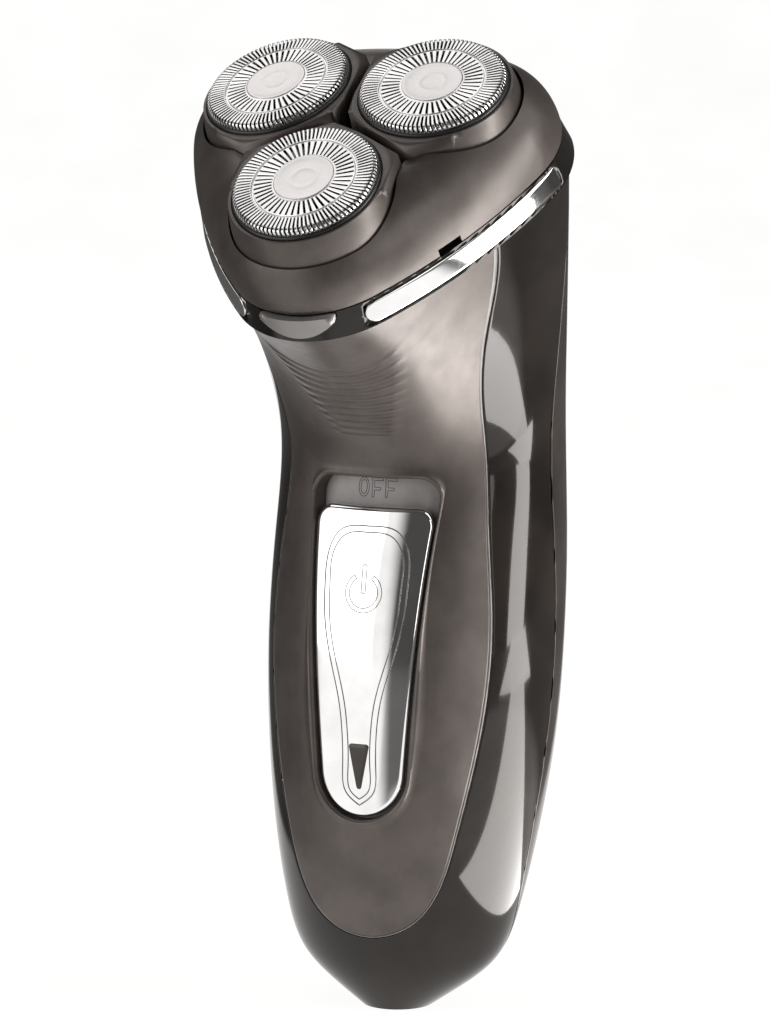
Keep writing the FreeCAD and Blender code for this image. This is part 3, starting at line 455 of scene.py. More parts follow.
def skinTable(wall):
    # the sections, each a ring of points by the angle of its normal from -90
    rows = []
    for height, front, back, half in lowerRows:
        z = height * handle["neck"]
        rows.append([np.array([0, front * handle["depth"], z]),
                     np.array([0, back * handle["depth"], z]), half * handle["width"], 0.0])
    rows[0][0][2] = rows[0][1][2] = wall
    frontStart = np.array([0, handle["neckFront"] * handle["depth"], handle["neck"]])
    backStart = np.array([0, handle["neckBack"] * handle["depth"],
                          handle["neck"] + handle["neckLean"]])
    frontEnd, backEnd = headPlace([[0, -noseReach - handle["joint"], unit["collarBase"]],
                                   [0, flankReach + handle["joint"], unit["collarBase"]]])
    frontBend = np.array([0, frontStart[1] * 1.85, frontEnd[2] - 7.0])
    backBend = np.array([0, backStart[1] * 0.95, handle["neck"] + 34])
    for share in (0.0, 0.25, 0.5, 0.75, 1.0):
        half = bezier(handle["neckHalf"] * handle["width"], handle["throatBend"], halfReach, share)
        rows.append([bezier(frontStart, frontBend, frontEnd, share),
                     bezier(backStart, backBend, backEnd, share), half, share ** 1.3])
    table = []
    angles = 15.0 * np.arange(24) - 90
    tri = trefoil(angles)
    for front, back, half, share in rows:
        across = (back - front) / np.linalg.norm(back - front)
        front, back, half = front + across * wall, back - across * wall, half - wall
        middle, depth = (front + back) / 2, np.linalg.norm(back - front) / 2
        wayX, wayY = np.cos(np.radians(angles)), np.sin(np.radians(angles))
        spread = np.hypot(half * wayX, depth * wayY)
        ovalX, ovalY = half ** 2 * wayX / spread, depth ** 2 * wayY / spread
        triX = tri[:, 0] * half / halfReach
        triY = (tri[:, 1] + (noseReach - flankReach) / 2) * depth / ((noseReach + flankReach) / 2)
        alongX, alongY = ovalX + (triX - ovalX) * share, ovalY + (triY - ovalY) * share
        spots = middle + np.outer(alongX, [1, 0, 0]) + np.outer(alongY, across)
        table.append(ringSpline(spots, ringSteps))
    return np.array(table)


ringSteps = 16
outerTable, innerTable = skinTable(0.0), skinTable(handle["wall"])
sectionCount, ringCount = outerTable.shape[:2]
topRow = sectionCount - 1.0
sectionGaps = np.linalg.norm(np.diff(outerTable, axis=0), axis=2).mean(axis=1)
knots = np.concatenate([[0], np.cumsum(sectionGaps)])


def bendMatrix():
    # second derivatives of the natural spline through the sections, as weights of them
    gaps, matrix, target = np.diff(knots), np.eye(sectionCount), np.zeros((sectionCount,) * 2)
    for index in range(1, sectionCount - 1):
        before, after = gaps[index - 1], gaps[index]
        matrix[index, index - 1:index + 2] = before, 2 * (before + after), after
        target[index, index - 1:index + 2] = (6 / before, -6 / before - 6 / after, 6 / after)
    return np.linalg.solve(matrix, target)


bends = bendMatrix()


def loftWeights(row):
    index = np.clip(row.astype(int), 0, sectionCount - 2)
    gap = (knots[index + 1] - knots[index])[:, None]
    one = np.eye(sectionCount)
    return spanPoint(one[index], one[index + 1], bends[index], bends[index + 1],
                     (row - index)[:, None], gap)


def skinAt(angle, row, wall=0.0):
    # points of the skin by normal angle and section row, drawn in by a wall
    angle, row, wall = np.broadcast_arrays(np.asarray(angle, float), np.asarray(row, float), wall)
    shape = angle.shape
    angle, row, wall = angle.ravel(), np.clip(row.ravel(), 0, topRow), wall.ravel()
    weights = loftWeights(row)
    column = (angle + 90) / 360 * ringCount
    index = np.floor(column).astype(int)
    share = column - index
    square, cube = share ** 2, share ** 3
    catmull = (-0.5 * share + square - 0.5 * cube, 1 - 2.5 * square + 1.5 * cube,
               0.5 * share + 2 * square - 1.5 * cube, -0.5 * square + 0.5 * cube)
    made = np.zeros((len(angle), 3))
    drawnIn = (wall / handle["wall"])[:, None]
    for step, part in enumerate(catmull):
        columns = (index + step - 1) % ringCount
        outer, inner = outerTable[:, columns], innerTable[:, columns]
        both = np.einsum("ns,snk->nk", weights, outer)
        if np.any(wall):
            both = both + (np.einsum("ns,snk->nk", weights, inner) - both) * drawnIn
        made += both * part[:, None]
    return made.reshape(shape + (3,))


def inwardAt(angle, row):
    way = skinAt(angle, row, 1.0) - skinAt(angle, row, 0.0)
    return way / np.linalg.norm(way, axis=-1, keepdims=True)


def frontSpot(x, z):
    # (angle, row) of the skin's points that stand at x and z on the front
    frontZ = skinAt(np.full(sectionCount, -90.0), np.arange(sectionCount))[:, 2]
    angle, row = -90 + 2.0 * x, np.interp(z, frontZ, np.arange(sectionCount))
    for _ in range(9):
        here = skinAt(angle, row)
        byAngle = (skinAt(angle + 0.05, row) - here) / 0.05
        byRow = (skinAt(angle, np.minimum(row, topRow - 0.001) + 0.001)
                 - skinAt(angle, np.minimum(row, topRow - 0.001))) / 0.001
        missX, missZ = x - here[:, 0], z - here[:, 2]
        area = byAngle[:, 0] * byRow[:, 2] - byRow[:, 0] * byAngle[:, 2]
        area = np.where(np.abs(area) < 1e-6, 1e-6, area)
        angle = angle + np.clip((missX * byRow[:, 2] - missZ * byRow[:, 0]) / area, -9, 9)
        row = row + np.clip((byAngle[:, 0] * missZ - byAngle[:, 2] * missX) / area, -0.6, 0.6)
        angle, row = np.clip(angle, -175, -5), np.clip(row, 0, topRow)
    return angle, row


def openSpline(spots, steps):
    # a natural spline through spots in the plane
    spots = np.asarray(spots, float)
    along = np.concatenate([[0], np.cumsum(np.linalg.norm(np.diff(spots, axis=0), axis=1))])
    gaps, count = np.diff(along), len(spots)
    matrix, target = np.eye(count), np.zeros((count, 2))
    for index in range(1, count - 1):
        before, after = gaps[index - 1], gaps[index]
        matrix[index, index - 1:index + 2] = before, 2 * (before + after), after
        target[index] = 6 * ((spots[index + 1] - spots[index]) / after
                             - (spots[index] - spots[index - 1]) / before)
    curve = np.linalg.solve(matrix, target)
    made = []
    for index, gap in enumerate(gaps):
        made += [spanPoint(spots[index], spots[index + 1], curve[index], curve[index + 1],
                           share, gap) for share in np.arange(steps) / steps]
    return np.array(made + [spots[-1]])


def panelSeam(grown=0.0):
    # the right half of the front seam, from the bottom up: (x, z)
    half, bottom, neck = handle["panelWidth"] / 2, handle["panelBottom"], handle["neck"]
    rows = ((25.8, 148.0), (25.0, 129.0), (19.4, 110.0), (half * 0.895, neck + 3),
            (half, neck * 0.7), (half * 0.765, bottom + 17), (half * 0.40, bottom + 2.6))
    right = [(x + grown, z - grown * 0.5) for x, z in rows]
    loop = right + [(0, bottom - grown)] + [(-x, z) for x, z in reversed(right)]
    curve = openSpline(loop, 60)
    middle = len(curve) // 2
    return curve[:middle + 1][::-1]


def rearSeam(shift=0.0):
    # the rear seam seen from the side, from the bottom up: (y, z)
    seam = handle["rearSeam"]
    rows = ((8.0, -2.0), (seam - 4.2, 16.0), (seam - 4.0, 30.0), (seam - 0.5, 58.0), (seam, 80.0),
            (seam, 104.0), (seam - 2.0, 124.0), (seam - 7.0, 142.0), (seam - 14.0, 160.0))
    return openSpline([(y + shift, z) for y, z in rows], 40)


def bisect(test, low, high):
    # where a rising test turns from below to above zero, for arrays of bounds
    low, high = np.array(low, float), np.array(high, float)
    for _ in range(40):
        middle = (low + high) / 2
        above = test(middle) > 0
        high, low = np.where(above, middle, high), np.where(above, low, middle)
    return (low + high) / 2


def spacing(distance, line):
    # distance from points to a line of points
    made = np.full(len(distance), 1e9)
    starts, runs = line[:-1], np.diff(line, axis=0)
    lengths = np.maximum((runs ** 2).sum(axis=1), 1e-12)
    for first in range(0, len(distance), 2000):
        block = distance[first:first + 2000]
        coarse = np.linalg.norm(block[:, None] - line[None, ::8], axis=2).min(axis=1)
        near = np.nonzero(coarse < 4.0)[0]
        if not len(near):
            continue
        gap = block[near][:, None] - starts[None]
        share = np.clip((gap * runs[None]).sum(axis=2) / lengths, 0, 1)
        miss = gap - share[..., None] * runs[None]
        made[first + near] = np.sqrt((miss ** 2).sum(axis=2).min(axis=1))
    return made


def rolled(distance, radius):
    # how far a rounded edge has dropped at a distance from it
    inside = np.clip(1 - distance / radius, 0, 1)
    return radius * (1 - np.sqrt(1 - inside ** 2))


def evenly(line, count):
    # points at even steps along a line
    along = np.concatenate([[0], np.cumsum(np.linalg.norm(np.diff(line, axis=0), axis=1))])
    where = np.linspace(0, along[-1], count)
    return np.column_stack([np.interp(where, along, line[:, axis])
                            for axis in range(line.shape[1])])


print("skin ready")

# slider outline
slider = {"tail": 7.5, "tailZ": 41.5, "side": 7.6, "topZ": 81.0, "corner": 3.0, "gap": 0.5,
          "travel": 4.2, "drop": 0.25, "roll": 0.75, "crown": 0.12, "lip": 0.6, "trayDepth": 2.5}


def hullHalf(circles, count):
    # the right half of a taut outline round (x, z, radius), from its lowest point up
    made = []
    first = -math.pi / 2
    for here, there in zip(circles, circles[1:] + [None]):
        if there is None:
            last = math.pi / 2
        else:
            run = np.array(there[:2]) - here[:2]
            lean = math.asin((here[2] - there[2]) / np.linalg.norm(run))
            last = math.atan2(run[1], run[0]) - math.pi / 2 + lean
        ways = np.linspace(first, last, 40)
        made += [(here[0] + here[2] * math.cos(way), here[1] + here[2] * math.sin(way))
                 for way in ways]
        first = last
    made.append((0.0, made[-1][1]))
    return evenly(np.array(made), count)


def sliderHalf(grown, extraTop, count):
    return hullHalf([(0, slider["tailZ"], slider["tail"] + grown),
                     (slider["side"], slider["topZ"] + extraTop, slider["corner"] + grown)], count)


# front panel
ridges = {"low": 95.6, "high": 107.6, "pitch": 1.14, "rise": 0.26, "bow": 0.0028,
          "crown": 0.006 - 0.0028 * 96, "reach": 6.0, "widening": 7.5, "ease": 0.5,
          "sideEase": 2.4, "crest": 0.68}


def ridgeHeight(x, z):
    # fine grip ridges across the neck, bowed up at the sides
    level = (z - ridges["crown"] * x ** 2) / (1 + ridges["bow"] * x ** 2)
    share = np.clip((level - ridges["low"]) / (ridges["high"] - ridges["low"]), 0, 1)
    reach = ridges["reach"] + ridges["widening"] * share ** 1.2
    fade = np.clip((reach - np.abs(x)) / ridges["sideEase"], 0, 1) ** 1.5
    fade *= np.clip((level - ridges["low"]) / ridges["ease"], 0, 1)
    fade *= np.clip((ridges["high"] - level) / ridges["ease"], 0, 1)
    wave = (level - ridges["low"]) / ridges["pitch"] % 1.0
    tooth = np.where(wave < ridges["crest"], wave / ridges["crest"],
                     (1 - wave) / (1 - ridges["crest"]))
    return ridges["rise"] * tooth * tooth * (3 - 2 * tooth) * fade


panel = {"rim": 0.34, "rimAt": 0.7, "rimReach": 1.5, "recessRoll": 0.4, "seamRoll": 0.3,
         "lip": 2.1, "sideShare": 0.74}


def frontPanel():
    spokes, loops = 170, 205
    seam = panelSeam()
    topAngles = np.linspace(-90, -20, 200)
    top = skinAt(topAngles, topRow)[:, [0, 2]]
    above = seam[:, 1] - np.interp(seam[:, 0], top[:, 0], top[:, 1])
    crossing = np.argmax((above > 0) & (seam[:, 1] > 100))
    side = seam[:crossing]
    corner = np.array([side[-1][0], np.interp(side[-1][0], top[:, 0], top[:, 1])])
    lid = np.vstack([corner, top[top[:, 0] < corner[0]][::-1]])
    lowCount = int(spokes * panel["sideShare"])
    outer = np.vstack([evenly(np.vstack([side, corner]), lowCount),
                       evenly(lid, spokes - lowCount + 1)[1:]])
    recess = sliderHalf(slider["gap"], slider["travel"], 2000)
    cornerIndex = np.argmax(recess[:, 0] + recess[:, 1])
    inner = np.vstack([evenly(recess[:cornerIndex + 1], lowCount),
                       evenly(recess[cornerIndex:], spokes - lowCount + 1)[1:]])
    reach = np.linalg.norm(outer - inner, axis=1)
    nearEdge = np.array([0, 0.02, 0.06, 0.12, 0.2, 0.3, 0.42, 0.56, 0.75, 1.0, 1.3, 1.65, 2.0])
    farEdge = np.array([0.9, 0.6, 0.4, 0.28, 0.19, 0.12, 0.06, 0.02, 0])
    rows = []
    for index in range(loops):
        if index < len(nearEdge):
            rows.append(np.full(spokes, nearEdge[index]))
        elif index >= loops - len(farEdge):
            rows.append(reach - farEdge[index - loops + len(farEdge)])
        else:
            share = (index - len(nearEdge) + 1) / (loops - len(nearEdge) - len(farEdge) + 1)
            rows.append(nearEdge[-1] + share * (reach - farEdge[0] - nearEdge[-1]))
    offsets = np.array(rows)
    spots = inner[None] + (outer - inner)[None] * (offsets / reach)[..., None]
    x, z = spots[..., 0].ravel(), spots[..., 1].ravel()
    angle, row = frontSpot(x, z)
    fromRecess = offsets.ravel()
    fromSeam = (reach[None] - offsets).ravel()
    fromRim = np.abs(fromRecess - panel["rimAt"]) / panel["rimReach"]
    rim = panel["rim"] * np.clip(1 - fromRim, 0, 1) ** 2
    wall = (rolled(fromRecess, panel["recessRoll"]) + rolled(fromSeam, panel["seamRoll"])
            - ridgeHeight(x, z)
            - rim * (3 - 2 * np.clip(fromRecess / 2, 0, 1)) / 2)
    right = skinAt(angle, row, wall)
    inward = inwardAt(angle, row)
    faces = gridFaces(loops, spokes)
    points, faces = lipped(right, faces, inward, panel["lip"],
                           kept=(fromRecess < 1e-6) | (fromSeam < 1e-6))
    return bothSides(points, faces)


piece("frontPanel", *frontPanel(), panelPaint, "handle", ["front_panel"], around=(0, 10, 75))
print("front panel")


# seal in the front seam
def sealStrip():
    seam = evenly(panelSeam(0.15), 420)
    top = skinAt(np.linspace(-90, -20, 200), topRow)[:, [0, 2]]
    seam = seam[seam[:, 1] < np.interp(seam[:, 0], top[:, 0], top[:, 1]) - 0.3]
    run = np.gradient(seam, axis=0)
    aside = np.column_stack([run[:, 1], -run[:, 0]])
    aside /= np.linalg.norm(aside, axis=1, keepdims=True)
    rows = []
    for shift, wall in ((-0.15, 0.9), (-0.13, 0.22), (-0.06, 0.14), (0.06, 0.14), (0.13, 0.22),
                        (0.15, 0.9)):
        spot = seam + aside * shift
        angle, row = frontSpot(spot[:, 0], spot[:, 1])
        rows.append(skinAt(angle, row, wall))
    right = np.concatenate(rows)
    faces = gridFaces(len(rows), len(seam)).tolist()
    return bothSides(right, faces)


piece("panelSeal", *sealStrip(), sealGrey, "handle", ["panel_seal"], around=(0, 10, 75))


# side frame and rear cover
def rowAt(z, angle=-90.0):
    return bisect(lambda row: skinAt(np.full(row.shape, angle), row)[..., 2] - z,
                  np.zeros(np.shape(z)), np.full(np.shape(z), topRow))


def frontAngle(row, seam):
    # normal angle at which a row meets the front seam on the right
    def test(angle):
        spot = skinAt(angle, row)
        return spot[:, 0] - np.interp(spot[:, 2], seam[:, 1], seam[:, 0])
    return bisect(test, np.full(len(row), -90.0), np.full(len(row), -5.0))


def rearAngle(row, seam):
    def test(angle):
        spot = skinAt(angle, row)
        return spot[:, 1] - np.interp(spot[:, 2], seam[:, 1], seam[:, 0])
    return bisect(test, np.full(len(row), -40.0), np.full(len(row), 90.0))


def stretchOf(angle, row):
    return np.linalg.norm(skinAt(angle + 0.5, row) - skinAt(angle - 0.5, row), axis=-1)


def shellRows(starts):
    # rows from the base to the collar, gathered where a seam crosses the middle
    rows = []
    for low, high, count, ease in starts:
        share = np.arange(count) / count
        share = {"both": share * share * (3 - 2 * share), "start": share ** 1.8,
                 "even": share}[ease]
        rows.append(low + (high - low) * share)
    return np.concatenate(rows + [[topRow]])


def sideShell(row, first, last, seams, columns, roll=0.3, touch=0.02):
    # a patch of skin between two angles on each row, its edges rolled in at the seams
    width = last - first
    stretch = stretchOf((first + last) / 2, row)
    edge = np.array([0, 0.03, 0.08, 0.15, 0.24, 0.36, 0.6, 1.0])
    edge = edge[None] / stretch[:, None]
    share = np.linspace(0, 1, columns)[None]
    inner = edge[:, -1:] + share * (width[:, None] - 2 * edge[:, -1:])
    reach = np.hstack([edge[:, :-1], inner, width[:, None] - edge[:, -2::-1]])
    reach = np.clip(reach, 0, width[:, None])
    reach = np.maximum.accumulate(reach, axis=1)
    angle = first[:, None] + reach
    rows = np.repeat(row[:, None], angle.shape[1], axis=1)
    flat = skinAt(angle, rows).reshape(-1, 3)
    wall = np.zeros(len(flat))
    onSeam = np.zeros(len(flat), bool)
    for seam in seams:
        distance = spacing(flat, seam)
        wall = np.maximum(wall, rolled(distance, roll))
        onSeam |= distance < touch
    points = skinAt(angle.ravel(), rows.ravel(), wall)
    return points, gridFaces(*angle.shape), inwardAt(angle.ravel(), rows.ravel()), onSeam


gap, shellLip = handle["gap"], 1.7
frontLine = panelSeam(gap)
rearLine, coverLine = rearSeam(-gap), rearSeam(0.0)
seamBottom = float(rowAt(np.array([frontLine[0, 1]]))[0])


def lowestRow(line):
    # the row on which the middle of the back reaches a rear seam
    def test(row):
        spot = skinAt(np.full(row.shape, 90.0), row)
        return spot[:, 1] - np.interp(spot[:, 2], line[:, 1], line[:, 0])
    return float(bisect(test, np.array([0.0]), np.array([2.0]))[0])


rearBottom, coverBottom = lowestRow(rearLine), lowestRow(coverLine)


def sideFrame():
    row = shellRows([(0.0, rearBottom, 14, "even"), (rearBottom, seamBottom, 44, "both"),
                     (seamBottom, 4.0, 44, "start"), (4.0, topRow, 120, "even")])
    first = np.where(row > seamBottom, frontAngle(row, frontLine), -90.0)
    last = np.where(row > rearBottom, rearAngle(row, rearLine), 90.0)
    upper, lower = row[row >= seamBottom], row[row >= rearBottom]
    seams = [skinAt(np.where(upper > seamBottom, frontAngle(upper, frontLine), -90.0), upper),
             skinAt(np.where(lower > rearBottom, rearAngle(lower, rearLine), 90.0), lower)]
    points, faces, inward, onSeam = sideShell(row, first, last, seams, 84)
    points, faces = lipped(points, faces, inward, shellLip, kept=onSeam)
    return bothSides(points, faces)


piece("sideFrame", *sideFrame(), frameGloss, "handle", ["side_frame"], around=(0, 10, 75))
print("side frame")


def rearCover():
    row = shellRows([(coverBottom, 2.2, 44, "start"), (2.2, topRow, 120, "even")])
    first = rearAngle(row, coverLine)
    first[0] = 90.0
    last = np.full(len(row), 90.0)
    points, faces, inward, onSeam = sideShell(row, first, last, [skinAt(first, row)], 70)
    points, faces = lipped(points, faces, inward, shellLip, kept=onSeam)
    return bothSides(points, faces)


piece("rearCover", *rearCover(), rearGloss, "handle", ["rear_cover"], around=(0, 0, 75))
print("rear cover")


# slider
def sliderSheet():
    # rows across the slider, closer together at both ends
    outline = sliderHalf(0.0, 0.0, 1600)
    low, high = outline[0, 1], outline[-1, 1]
    count, across = 210, 72
    share = (1 - np.cos(np.linspace(0, math.pi, count))) / 2
    level = low + (high - low) * share
    half = np.interp(level, outline[:-1, 1] + np.arange(len(outline) - 1) * 1e-9, outline[:-1, 0])
    half[-1] = slider["side"]
    side = np.sin(np.linspace(-math.pi / 2, math.pi / 2, across))
    x = half[:, None] * side[None]
    z = np.repeat(level[:, None], across, axis=1)
    line = np.column_stack([outline[:, 0], np.zeros(len(outline)), outline[:, 1]])
    flat = np.column_stack([np.abs(x.ravel()), np.zeros(x.size), z.ravel()])
    distance = spacing(flat, line)
    angle, row = frontSpot(x.ravel(), z.ravel())
    crown = slider["crown"] * np.clip(distance / 4, 0, 1)
    wall = slider["drop"] + rolled(distance, slider["roll"]) - crown
    points = skinAt(angle, row, wall)
    return lipped(points, gridFaces(count, across), inwardAt(angle, row), slider["lip"])


def onSlider(path, lift=slider["crown"]):
    # points and outward ways on the slider's face for (x, z) spots
    path = np.asarray(path, float)
    angle, row = frontSpot(path[:, 0], path[:, 1])
    return skinAt(angle, row, slider["drop"] - lift), -inwardAt(angle, row)


def dropOutline(grown, count=160):
    # the long drop drawn on the slider's face: wide above, a thin tail below
    right = openSpline([(0, 37.0 - grown), (1.5 + grown, 38.2), (1.95 + grown, 42),
                        (2.0 + grown, 47), (2.7 + grown, 53), (4.6 + grown, 60),
                        (6.0 + grown, 66.5),
                        (6.35 + grown, 72), (6.0 + grown, 77), (4.2 + grown, 79.4 + grown * 0.7),
                        (0, 80.0 + grown)], 20)
    right[:, 0] = np.maximum(right[:, 0], 0)
    right = evenly(right, count)
    left = right[-2:0:-1] * [-1, 1]
    return np.vstack([right, left])


def sliderBeads():
    parts = []
    for grown in (0.0, 1.0):
        path, outward = onSlider(dropOutline(grown))
        parts.append(beadMesh(path, outward, 0.24, 0.10, closed=True))
    mark = {"z": 70.5, "radius": 2.85, "open": 32.0, "thick": 0.72, "barLow": 70.7,
            "barHigh": 74.6, "barHalf": 0.36, "line": 0.17, "lineRise": 0.12}
    for side in (-mark["thick"] / 2, mark["thick"] / 2):
        ways = np.radians(np.linspace(90 + mark["open"], 450 - mark["open"], 60))
        radius = mark["radius"] + side
        path, outward = onSlider(np.column_stack([radius * np.cos(ways),
                                                  mark["z"] + radius * np.sin(ways)]))
        parts.append(beadMesh(path, outward, mark["line"], mark["lineRise"]))
    for way in (90 + mark["open"], 450 - mark["open"]):
        turn = np.radians(way)
        tip = mark["radius"] + np.linspace(-1, 1, 9) * mark["thick"] / 2
        path, outward = onSlider(np.column_stack([tip * math.cos(turn),
                                                  mark["z"] + tip * math.sin(turn)]))
        parts.append(beadMesh(path, outward, mark["line"], mark["lineRise"]))
    bar = hullHalf([(0, mark["barLow"], mark["barHalf"]),
                    (0, mark["barHigh"], mark["barHalf"] + 0.0001)], 40)
    bar = np.vstack([bar, bar[-2:0:-1] * [-1, 1]])
    path, outward = onSlider(bar)
    parts.append(beadMesh(path, outward, mark["line"], mark["lineRise"], closed=True))
    return parts


piece("sliderPlate", *sliderSheet(), chrome, "slider", ["power_slider"], around=(0, 10, 62),
      sharp=60)
piece("sliderLines", *joined(sliderBeads()), lineGrey, "slider", around=(0, 10, 62))


def windowLens():
    # a dark wedge set in the tail of the drop, pointed end down
    outline = hullHalf([(0, 39.1, 0.45), (1.25, 45.6, 0.5)], 60)
    loop = np.vstack([outline, outline[-2:0:-1] * [-1, 1]])
    middle = np.array([0.0, 43.6])
    rows, ways = [], None
    for share, lift in ((1.0, -0.2), (1.0, 0.04), (0.96, 0.10), (0.88, 0.15), (0.7, 0.18),
                        (0.35, 0.20), (0.02, 0.20)):
        spot = middle + (loop - middle) * share
        path, ways = onSlider(spot, slider["crown"] + lift)
        rows.append(path)
    return np.concatenate(rows), gridFaces(len(rows), len(loop), wrapped=True)


piece("windowLens", *windowLens(), windowSmoke, "slider", ["slider_window"], around=(0, 10, 43))


# tray mark
def onTray(path):
    # points and outward ways on the tray's floor for (x, z) spots
    angle, row = frontSpot(path[:, 0], path[:, 1])
    return skinAt(angle, row, slider["trayDepth"]), -inwardAt(angle, row)


letters = {"low": 85.1, "high": 88.05, "wide": 2.1, "stroke": 0.42, "arm": 1.6, "armLow": 1.05,
           "line": 0.13, "lineRise": 0.08}


def trayStrokes():
    # the word for "off" in thin outline letters above the slider
    low, high, wide = letters["low"], letters["high"], letters["wide"]
    stroke, arm = letters["stroke"], letters["arm"]
    parts = []
    for start, letter in ((-3.9, "O"), (-1.2, "F"), (1.4, "F")):
        if letter == "O":
            ways = np.radians(np.arange(0, 360, 12))
            middle = (start + wide / 2, (low + high) / 2)
            for shrink in (0.0, stroke):
                loop = np.column_stack([middle[0] + (wide / 2 - shrink) * np.cos(ways),
                                        middle[1] + ((high - low) / 2 - shrink) * np.sin(ways)])
                path, outward = onTray(loop)
                parts.append(beadMesh(path, outward, letters["line"], letters["lineRise"],
                                      closed=True))
            continue
        armLow, top = letters["armLow"], high - low
        corners = [(0, 0), (stroke, 0), (stroke, armLow), (arm, armLow), (arm, armLow + stroke),
                   (stroke, armLow + stroke), (stroke, top - stroke), (wide, top - stroke),
                   (wide, top), (0, top), (0, 0)]
        for here, there in zip(corners, corners[1:]):
            line = np.linspace(here, there, 8) + [start, low]
            path, outward = onTray(line)
            parts.append(beadMesh(path, outward, letters["line"], letters["lineRise"]))
    return joined(parts)


piece("trayMark", *trayStrokes(), innerBlack, "handle", around=(0, 10, 86))
print("slider and tray")


# shaving heads
headAngles = {"front": -90.0, "right": 30.0, "left": 150.0}
foil = {"trackIn": 8.15, "trackOut": 8.6, "outerBars": 96, "innerBars": 48, "outerShare": 0.55,
        "innerShare": 0.58, "shareStep": 0.02, "outerSlant": 2.4, "innerSlant": 1.5, "lean": 4.0,
        "circle": 15.6, "thick": 0.32, "chamfer": 0.045}


def podPlace(angle):
    # from one shaving head's frame to the shaver's
    lean, turn = math.radians(foil["lean"]), math.radians(angle)

    def place(points):
        x, y, z = np.asarray(points, float).T
        leant = np.column_stack([x * math.cos(lean) + z * math.sin(lean) + foil["circle"], y,
                                 -x * math.sin(lean) + z * math.cos(lean)])
        spun = np.column_stack([leant[:, 0] * math.cos(turn) - leant[:, 1] * math.sin(turn),
                                leant[:, 0] * math.sin(turn) + leant[:, 1] * math.cos(turn),
                                leant[:, 2]])
        return headPlace(spun)
    return place


def barFan(count, profile, shares, slant):
    # radial bars round the axis, each following a profile of (radius, height)
    profile = np.asarray(profile, float)
    halfWidths = math.pi * profile[:, 0] / count * shares
    slant = np.radians(np.linspace(0, slant, len(profile)))
    thick, chamfer = foil["thick"], foil["chamfer"]
    run = np.gradient(profile, axis=0)
    normal = np.column_stack([-run[:, 1], run[:, 0]])
    normal /= np.linalg.norm(normal, axis=1, keepdims=True)
    parts = []
    for number in range(count):
        turn = 2 * math.pi * number / count
        points = []
        for (radius, height), half, (outR, outZ), lean in zip(profile, halfWidths, normal, slant):
            for aside, sunk in ((-half, thick), (-half, chamfer), (-half + chamfer, 0),
                                (half - chamfer, 0), (half, chamfer), (half, thick)):
                away = radius - outR * sunk
                way = turn + lean + aside / radius
                points.append((away * math.cos(way), away * math.sin(way), height - outZ * sunk))
        faces = gridFaces(len(profile), 6).tolist()
        parts.append((np.array(points), faces))
    return parts


def guardCap(place):
    outerPath = [(foil["trackOut"] - 0.05, 0), (9.6, 0), (10.6, 0), (11.05, -0.02), (11.33, -0.13),
                 (11.52, -0.33), (11.6, -0.6), (11.6, -1.0), (11.6, -1.35)]
    innerPath = [(5.15, 0), (5.9, 0), (6.7, 0), (7.5, 0), (foil["trackIn"] + 0.02, 0)]
    innerShares = foil["innerShare"] + foil["shareStep"] * np.arange(len(innerPath))
    parts = barFan(foil["outerBars"], outerPath, foil["outerShare"], foil["outerSlant"])
    parts += barFan(foil["innerBars"], innerPath, innerShares, foil["innerSlant"])
    parts = [(place(points), faces) for points, faces in parts]
    trackIn, trackOut = foil["trackIn"], foil["trackOut"]
    track = [(trackIn - 0.1, -0.34), (trackIn - 0.1, -0.02), (trackIn, 0.0),
             (trackIn + 0.06, -0.05), (trackIn + 0.1, -0.26), (trackOut - 0.12, -0.26),
             (trackOut - 0.08, -0.05), (trackOut, 0.0), (trackOut + 0.1, -0.02),
             (trackOut + 0.1, -0.34)]
    skirt = [(11.28, -1.2), (11.58, -1.22), (11.6, -1.3), (11.6, -2.9), (11.5, -3.0), (11.2, -3.0)]
    hoop = [(4.6, -0.3), (4.6, -0.01), (5.1, -0.01), (5.24, -0.06), (5.24, -0.34)]
    for profile in (track, skirt, hoop):
        points, faces = turnedMesh(profile, place, 144)
        parts.append((points, faces.tolist()))
    return joined(parts)


def centreCap(place):
    # a shallow dish with a raised rim and a faint ring inside
    profile = [(4.9, -0.05), (4.9, 0.07), (4.84, 0.12), (4.7, 0.145), (4.45, 0.14), (4.15, 0.10),
               (3.7, 0.07), (2.9, 0.055), (2.4, 0.06), (2.2, 0.085), (2.0, 0.085), (1.8, 0.05),
               (1.2, 0.035), (0.6, 0.03), (0.02, 0.03)]
    return turnedMesh(profile, place)


def guardRing(place):
    profile = [(11.6, -1.0), (11.72, -0.98), (11.9, -1.02), (12.03, -1.14), (12.1, -1.35),
               (12.1, -3.3), (12.02, -3.4), (11.6, -3.4)]
    return turnedMesh(profile, place, 144)


for headName, headAngle in headAngles.items():
    place = podPlace(headAngle)
    guardBody = f"guard_{headName}"
    middle = place(np.array([[0, 0, -2.0]]))[0]
    piece(f"guardCap_{headName}", *guardCap(place), foilSteel, guardBody,
          [f"guard_cap_{headName}"], weld=0.0005, sharp=35)
    piece(f"centreCap_{headName}", *centreCap(place), badgeSilver, guardBody,
          [f"centre_cap_{headName}"], around=middle)
    piece(f"guardRing_{headName}", *guardRing(place), ringBlack, guardBody,
          [f"guard_ring_{headName}"], around=middle)
print("shaving heads")


